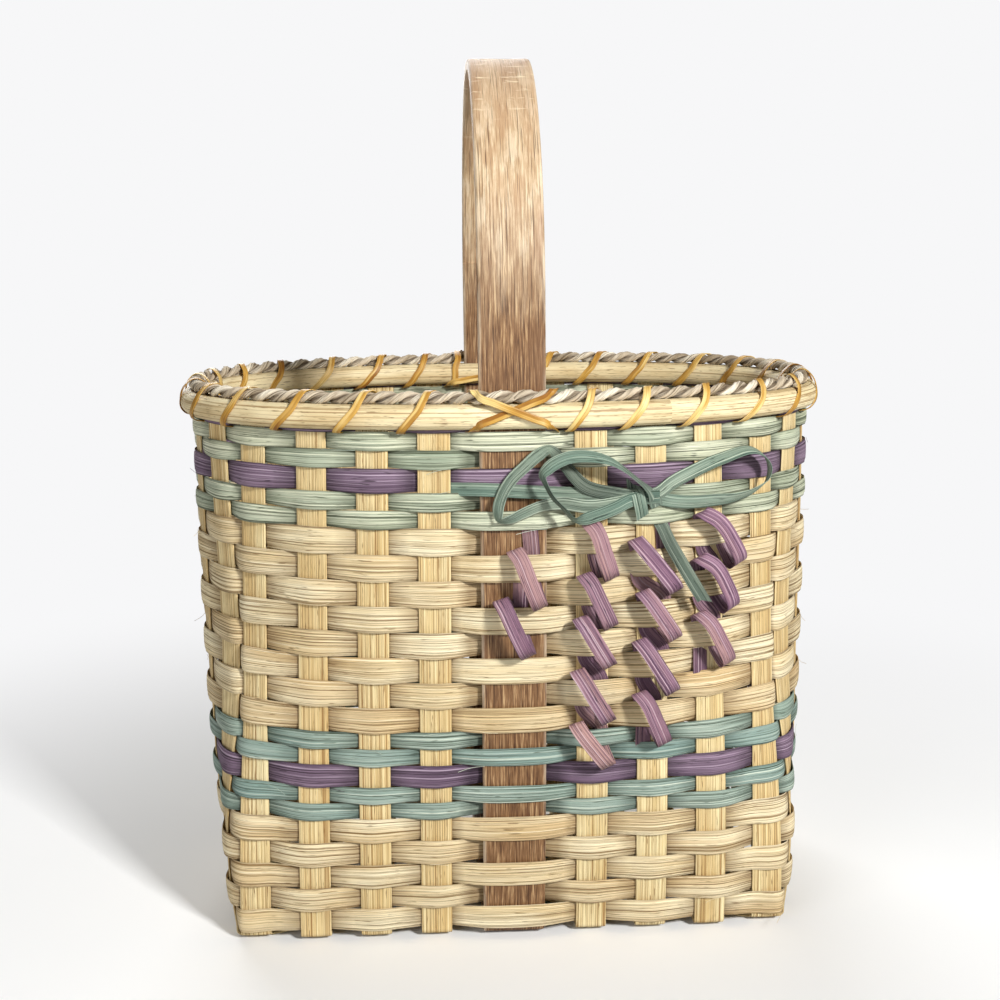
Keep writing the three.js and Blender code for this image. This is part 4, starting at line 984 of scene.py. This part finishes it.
def ribbon(name, steps, end_cut, tone, *nodes):
    """Steps are right of the knot, above it, out from the stakes, turn on edge and shade."""
    points = []
    for right, above, out, tilt, shade in steps:
        turn = front_turn(knot_x + right, knot_z + above)
        place = on_ring(turn, knot_z + above, out)
        normal = on_ring(turn, knot_z + above, out + 1) - place
        points.append(np.concatenate([place, normal, [math.radians(tilt), shade]]))
    run = open_spline(points, BOW_SPACING)
    middle, normal, tilt, shade = run[:, :3], run[:, 3:6], run[:, 6:7], run[:, 7:]
    heading = unit(np.gradient(middle, axis=0))
    flat_across = unit(np.cross(normal, heading))
    flat_out = np.cross(heading, flat_across)
    across = flat_across * np.cos(tilt) + flat_out * np.sin(tilt)
    section = reed_outline(BOW_WIDTH, BOW_THICK, BOW_CROWN)
    rings = strip_rings(middle, across, np.cross(heading, across), section)
    over = ((rings[-1] - middle[-1]) * across[-1]).sum(1, keepdims=True)
    rings[-1] += heading[-1] * over * end_cut
    dress(lay_strip("reed_" + name, rings, False, shade, tone), bow_reed, "bow_reed", *nodes)


on_row = HANDLE_THICK / 2 + WEAVER_THICK + BOW_OFF_ROW + BOW_THICK / 2
behind = [on_ring(turn, knot_z + 6, 0)[0] - knot_x for turn in (-1.2, -0.75)]
ribbon("bow_ribbon_long", [
    (behind[0], 6, -knot(0), 0, 0), (behind[1], 6, -knot(0), 0, 0), (-82, 6.6, on_row, 0, 0),
    (-58.8, 4.9, on_row, 0, 0.2), (-38.7, 3.5, on_row, 0, 0), (-20, 2.3, knot(4), 0, 0),
    (-8, 1, knot(3), 0, 0), (2, -0.8, knot(3), 0, 0), (8, -2.2, 4.2, 0, 0.3), (15.6, -3.4, 5, 5, 0),
    (28.9, -3.6, 6, 15, 0), (42.3, -2.8, 7.5, 40, 0), (49.9, -0.1, 8.5, 46, 0), (54.8, 4, 9.5, 54, 0),
    (55.8, 10.3, 10, 60, 0), (52.9, 16.1, 10, 62, 0), (48.6, 19.5, 9.5, 62, 0), (32.1, 17.4, 8, 45, 0.2),
    (18.7, 12.4, 7, 28, 0.2), (8, 6.9, 6, 15, 0), (1.4, 2, 5, 5, 0.2), (-9, 1.2, knot(4), 0, 0.5),
    (-20, 3, 4.5, 0, 0.9), (-34.6, 7.6, 5.4, 10, 1), (-42.8, 16.8, 6.2, 25, 1),
    (-48.2, 23.8, 6.8, 40, 0.9), (-50.8, 26, 7.3, 60, 0.3), (-56, 23.6, 8, 35, 0),
    (-62.5, 18.2, 8.4, 38, 0), (-69.7, 11.2, 8.9, 40, 0), (-73.8, 4.2, 9.2, 42, 0),
    (-75.7, -3, 9.4, 42, 0), (-75.2, -7.4, 9.3, 60, 0.1), (-70.3, -7.6, 8.8, 40, 0),
    (-64.2, -5, 8.4, 30, 0), (-53.9, -1.2, 7.6, 25, 0.2), (-46.9, -0.5, 7, 15, 0.4),
    (-31.7, -2.8, 6, 5, 0.2), (-19, -2, 5, 0, 0), (-10, -0.5, knot(5), 0, 0), (2, 0, knot(5), 0, 0)
], 0, 0.12, "bow_ribbon_long")
ribbon("bow_ribbon_short", [
    (0.8, -4.6, 5.2, 0, 0.7), (-0.7, -0.3, 6, 10, 0.7), (-3, 3.1, 6.4, 45, 0.7), (-6, 6.1, 7.2, 62, 0.8),
    (-11.7, 11.3, 8.6, 70, 0.7), (-17, 15.9, 10, 70, 0.5), (-22, 19.4, 11, 62, 0.1),
    (-32.6, 22.6, 12.5, 42, 0), (-44.9, 22.1, 13.5, 35, 0), (-52.4, 17.6, 14.2, 40, 0),
    (-54.9, 14.6, 14.4, 62, 0.3), (-53.4, 10.3, 14.3, 72, 0.8), (-49.6, 3, 14, 74, 1),
    (-44.9, -2.4, 13.6, 74, 0.9), (-40.6, -7.2, 13, 66, 0.5), (-37.4, -7.6, 12.2, 30, 0),
    (-29.5, -6.2, 10.5, 5, 0), (-18.8, -3, 8.2, 0, 0), (-12.8, -0.6, 6.6, 0, 0),
    (-7, 0.2, knot(7), 0, 0.5), (2, 0.3, knot(7), 0, 0.5)
], 0, 0.25, "bow_ribbon_short")
above_low = ROWS[BOW_ROW - 1][0] - knot_z
below_low = ROWS[BOW_ROW + 1][0] - knot_z
ribbon("bow_band", [
    (-9.8, above_low + 5, knot(0), 0, 0.8), (-9.5, above_low, 2.4, 0, 0.8), (-9, 2.6, 6.2, 0, 0.1),
    (-8.3, -1.4, 7, 0, 0), (-7.2, -5.4, 6.2, 0, 0), (-6, -9.4, 4.7, 0, 0.1)
], -0.25, 0.3, "bow_band_and_tail")
ribbon("bow_tail", [
    (2.5, below_low + 6, knot(0), 0, 0.8), (3.8, below_low + 0.5, knot(0), 0, 0.8),
    (5.1, -15.6, 2.4, 0, 0.9), (7.4, -22.3, 5.4, 5, 1), (11.6, -31.9, 9, 8, 0.9),
    (16.5, -42.6, 12, 8, 0.9), (20.8, -51.8, 14, 5, 1)
], 0.9, 0.1)

# Stray fibres. Fine hairs of split reed stand off the rows, and the rope's cut end by the back leg
# is frayed. They belong to the strips that they split from.
HAIR_WIDTH = 0.2
HAIR_THICK = 0.7 * HAIR_WIDTH
HAIR_CROWN = 0.02
HAIR_OFF_ROW = 1.2
HAIRS_ON_ROW = 4
HAIRS_ON_END = 18
NATURAL_ROWS = (*range(6, 14), *range(19, 24))
END_TURN = BACK + 0.38


def hairs(name, material, slot, starts):
    """Joins hairs into one piece. Each start is a place, the way that the hair goes, the way that
    it bends and its length."""
    strands = []
    for place, way, bend, length in starts:
        route = []
        for share in (0, 0.3, 0.65, 1):
            tip = place + way * length * share + bend * length * share * share
            route.append(np.concatenate([tip, UP + way]))
        rings = run_strip(route, HAIR_WIDTH, HAIR_THICK, HAIR_CROWN, length / 6)
        strands.append(lay_strip(name, rings, False))
    bpy.ops.object.select_all(action="DESELECT")
    for strand in strands:
        strand.select_set(True)
    bpy.context.view_layer.objects.active = strands[0]
    bpy.ops.object.join()
    strands[0].name = name
    dress(strands[0], material, slot)


for name, material, rows in (("natural", natural_reed, NATURAL_ROWS), ("green", green_reed, GREEN_ROWS),
                             ("plum", plum_reed, PLUM_ROWS[1:])):
    starts = []
    for row in rows:
        in_front = np.arange((row + 1) % 2, UPRIGHTS, 2)
        for index in draws.choice(in_front, HAIRS_ON_ROW, replace=False):
            turn = index + draws.uniform(-0.3, 0.3)
            z = ROWS[row][draws.integers(2)]
            stand_off = upright_facts(index)[5] / 2 + WEAVER_THICK + HAIR_OFF_ROW
            stand_off = stand_off + tuck_under(row, index)
            place = on_ring(turn, z, stand_off)
            side = ring_side(turn, z) * draws.choice((-1, 1))
            out = unit(on_ring(turn, z, stand_off + 1) - place)
            bend = out * draws.uniform(0.05, 0.3) + UP * draws.uniform(-0.25, 0.25)
            starts.append((place, side, bend, draws.uniform(6, 16)))
    hairs("reed_hairs_" + name, material, name + "_reed", starts)
starts = []
for _ in range(HAIRS_ON_END):
    rope_out, rope_z = rope_middle(END_TURN)
    place = on_ring(END_TURN, RIM_TOP, rope_out) + np.append(draws.uniform(-1.2, 1.2, 2), 0)
    place[2] = rope_z + draws.uniform(0.5, 2.2)
    way = ring_side(END_TURN, RIM_TOP) + UP * draws.uniform(-0.1, 0.7) + draws.uniform(-0.3, 0.3, 3)
    starts.append((place, unit(way), draws.uniform(-0.3, 0.3, 3), draws.uniform(2, 5)))
hairs("seagrass_frayed_end", seagrass, "seagrass", starts)

# Divider. A woven panel stands in line with the handle: four stakes whose feet go under the base
# stakes, a round reed by each handle leg, one long weaver and two rails on top.
PANEL_STAKE_WIDTH = 12.7
PANEL_STAKE_THICK = 1.0
PANEL_WEAVER_THICK = 0.8
PANEL_ROWS = 10
PANEL_ROW_GAP = 0.4
PANEL_CROWN = 0.2
PANEL_BULGE = 0.35
WEAVER_OFF_STAKE = 0.25
WEAVER_OFF_POST = 0.3
POST_OFF_ROW = 1.3
RAIL_CROWN = 0.25
RAIL_OFF_LEG = 0.2
LONG_IN_WEAVER = 25
LONG_IN_RAIL = 8
POST_RADIUS = 2.0
POST_STEPS = 30
RAIL_LOW, RAIL_HIGH = height_range("divider_rail_right")
PANEL_FOOT = HANDLE_FACE + 2 * CLEAR + STAKE_THICK + 1.5
PANEL_PITCH = (RAIL_LOW - PANEL_FOOT) / PANEL_ROWS
PANEL_STAKES = (-1.5, -0.5, 0.5, 1.5)


def leg_depth(z):
    """How far from the basket's middle a handle leg stands at a height."""
    return abs(upright_frame(0, z)[0][1])


def keep_straight(route, longest):
    """A route with more points on its long straight stretches, so that the strip stays on them."""
    full = [route[0]]
    for here, there in zip(route, route[1:]):
        if math.dist(here[:3], there[:3]) > longest:
            for share in (0.03, 0.06, 0.15, 0.5, 0.85, 0.94, 0.97):
                full.append(tuple(mix(a, b, share) for a, b in zip(here, there)))
        full.append(there)
    return full


def panel_y(place, z):
    """Where a panel stake stands along the panel at a height. The stakes spread a little upward."""
    return place * BASE_PITCH * mix(1, leg_depth(RAIL_HIGH) / BASE_HALF_DEPTH, z / RAIL_HIGH)


def lay_panel(name, rings, material=stake_reed, slot="stake_reed"):
    """One strip of the panel, which stands for the solid of its name."""
    dress(lay_strip("reed_" + name, rings, False), material, slot, name)


over_handle = HANDLE_FACE + CLEAR + PANEL_STAKE_THICK / 2
under_stake = STAKE_Z - STAKE_THICK / 2 - CLEAR - PANEL_STAKE_THICK / 2
for order, place in enumerate(PANEL_STAKES):
    way = 1 if order % 2 == 0 else -1
    steps = [(0, RAIL_HIGH), (0, RAIL_HIGH / 2), (0, over_handle + 6), (0, over_handle + 1.8),
             (0.55, over_handle + 0.55), (1.8, over_handle), (HANDLE_WIDTH / 2 + 1, over_handle),
             (FIRST_STAKE - STAKE_WIDTH / 2 - 0.5, under_stake), (FIRST_STAKE, under_stake),
             (FIRST_STAKE + STAKE_WIDTH / 2 + 1, under_stake),
             (FIRST_STAKE + STAKE_WIDTH / 2 + 7, STAKE_Z)]
    route = [(way * x, panel_y(place, z if z > PANEL_FOOT else 0), z, 0, 1, 0) for x, z in steps]
    rings = run_strip(route, PANEL_STAKE_WIDTH, PANEL_STAKE_THICK, PANEL_CROWN, 3)
    lay_panel(f"divider_stake_{order + 1}", rings)


def post_y(z):
    """How far from the basket's middle a round post stands at a height."""
    return leg_depth(z) - HANDLE_THICK / 2 - WEAVER_THICK - PANEL_WEAVER_THICK - POST_RADIUS - POST_OFF_ROW


around = np.linspace(0, 2 * math.pi, 14, endpoint=False)
circle = np.stack([POST_RADIUS * np.cos(around), POST_RADIUS * np.sin(around)], 1)
across = np.tile([1.0, 0, 0], (POST_STEPS, 1))
out = np.tile([0, 1.0, 0], (POST_STEPS, 1))
for way, end in ((-1, "front"), (1, "back")):
    heights = np.linspace(HANDLE_FACE + CLEAR, RAIL_LOW - CLEAR, POST_STEPS)
    middle = np.array([(0, way * post_y(z), z) for z in heights])
    lay_panel(f"divider_post_{end}", strip_rings(middle, across, out, circle))
face_out = PANEL_STAKE_THICK / 2 + WEAVER_OFF_STAKE + PANEL_WEAVER_THICK / 2
turn_out = POST_RADIUS + CLEAR + PANEL_WEAVER_THICK / 2 + WEAVER_OFF_POST
route = []
for row in range(PANEL_ROWS):
    low = PANEL_FOOT + (row + 0.5) * PANEL_PITCH
    way = 1 if row % 2 == 0 else -1
    for stake in range(len(PANEL_STAKES))[::way]:
        side = 1 if (stake + row) % 2 == 0 else -1
        for edge, extra in ((-1, 0), (0, PANEL_BULGE), (1, 0)):
            y = panel_y(PANEL_STAKES[stake], low) + way * edge * PANEL_STAKE_WIDTH / 2
            route.append((side * (face_out + extra), y, low, 0, 0, 1))
    if row < PANEL_ROWS - 1:
        for angle in np.radians([0, 45, 90, 135, 180]):
            z = low + PANEL_PITCH * mix(0.35, 0.65, angle / math.pi)
            y = way * (post_y(z) + math.sin(angle) * turn_out)
            post_lean = way * (post_y(z + 1) - post_y(z - 1)) / 2
            route.append((side * math.cos(angle) * turn_out, y, z, 0, post_lean, 1))
route = keep_straight(route, LONG_IN_WEAVER)
width = PANEL_PITCH - PANEL_ROW_GAP
rings = run_strip(route, width, PANEL_WEAVER_THICK, PANEL_CROWN, 1.5, upright=True)
lay_panel("divider_weaver", rings, natural_reed, "natural_reed")
flat = PANEL_STAKE_THICK + CLEAR
inside = leg_depth(RAIL_LOW) - (HANDLE_THICK / 2 + CLEAR + PANEL_STAKE_THICK / 2 + RAIL_OFF_LEG)
for way, name in ((1, "divider_rail_right"), (-1, "divider_rail_left")):
    ends = [(HANDLE_WIDTH / 2 - 1, 0), (flat + 3, 0), (flat + 0.9, 0.9), (flat, 3)]
    route = [(way * x, y - inside, (RAIL_LOW + RAIL_HIGH) / 2, 0, 0, 1) for x, y in ends]
    route += [(x, -y, z, 0, 0, 1) for x, y, z, _, _, _ in reversed(route)]
    route = keep_straight(route, LONG_IN_RAIL)
    lay_panel(name, run_strip(route, RAIL_HIGH - RAIL_LOW, PANEL_STAKE_THICK, RAIL_CROWN, 2))

# Studio. A plain pale floor runs out to an even pale backdrop. One lamp stands to the right in
# front, a weaker and broader one to the left, and a broad one lights the back.
FLOOR_SIZE = 8
FLOOR_DROP = 0.0003
FLOOR_FADE = (0.14, 0.72)
BACKDROP = paint(247, 247, 248)
LAMP_AIM = Vector((0, 0, 0.2))
LAMPS = (("key_lamp", (1.0, -1.6, 1.2), 0.3, 52),
         ("fill_lamp", (-1.4, -1.5, 0.7), 1.2, 15),
         ("back_lamp", (-0.5, 2.0, 1.2), 1.6, 42))
bpy.ops.object.select_all(action="DESELECT")
bpy.ops.mesh.primitive_plane_add(size=FLOOR_SIZE, location=(0, 0, -FLOOR_DROP))
floor = bpy.context.object
floor.name = "floor"
floor_paint, tree, shader = new_finish("floor_paint")
place = add_node(tree, "ShaderNodeTexCoord", {}).outputs["Object"]
noise = {"Vector": place, "Scale": 3.0, "Detail": 3.0}
mottle = add_node(tree, "ShaderNodeTexNoise", noise).outputs["Fac"]
seen = add_node(tree, "ShaderNodeLightPath", {}).outputs["Is Camera Ray"]
pale_floor = ramp(tree, mottle, (0.3, paint(244, 244, 243)), (0.7, paint(248, 248, 247)))
tree.links.new(blend(tree, seen, paint(190, 190, 190), pale_floor), shader.inputs["Base Color"])
shader.inputs["Roughness"].default_value = 0.9
away = add_node(tree, "ShaderNodeVectorMath", {0: place}, operation="LENGTH").outputs["Value"]
reach = share_between(tree, away, *FLOOR_FADE, interpolation_type="SMOOTHSTEP")
share = add_node(tree, "ShaderNodeMath", {0: reach, 1: seen}, operation="MULTIPLY").outputs[0]
glow = add_node(tree, "ShaderNodeEmission", {"Color": BACKDROP}).outputs[0]
fade = add_node(tree, "ShaderNodeMixShader", {0: share, 1: shader.outputs[0], 2: glow}).outputs[0]
tree.links.new(fade, tree.nodes["Material Output"].inputs["Surface"])
floor.data.materials.append(floor_paint)
for name, place, size, power in LAMPS:
    lamp_data = bpy.data.lights.new(name, "AREA")
    lamp_data.size = size
    lamp_data.energy = power
    lamp = bpy.data.objects.new(name, lamp_data)
    lamp.location = place
    lamp.rotation_euler = (LAMP_AIM - Vector(place)).to_track_quat("-Z", "Y").to_euler()
    bpy.context.scene.collection.objects.link(lamp)
world = bpy.data.worlds.new("room")
bpy.context.scene.world = world
world.use_nodes = True
tree = world.node_tree
background = tree.nodes["Background"]
seen = add_node(tree, "ShaderNodeLightPath", {}).outputs["Is Camera Ray"]
tree.links.new(blend(tree, seen, grey(0.05), BACKDROP), background.inputs["Color"])
bpy.context.scene.view_settings.view_transform = "Standard"
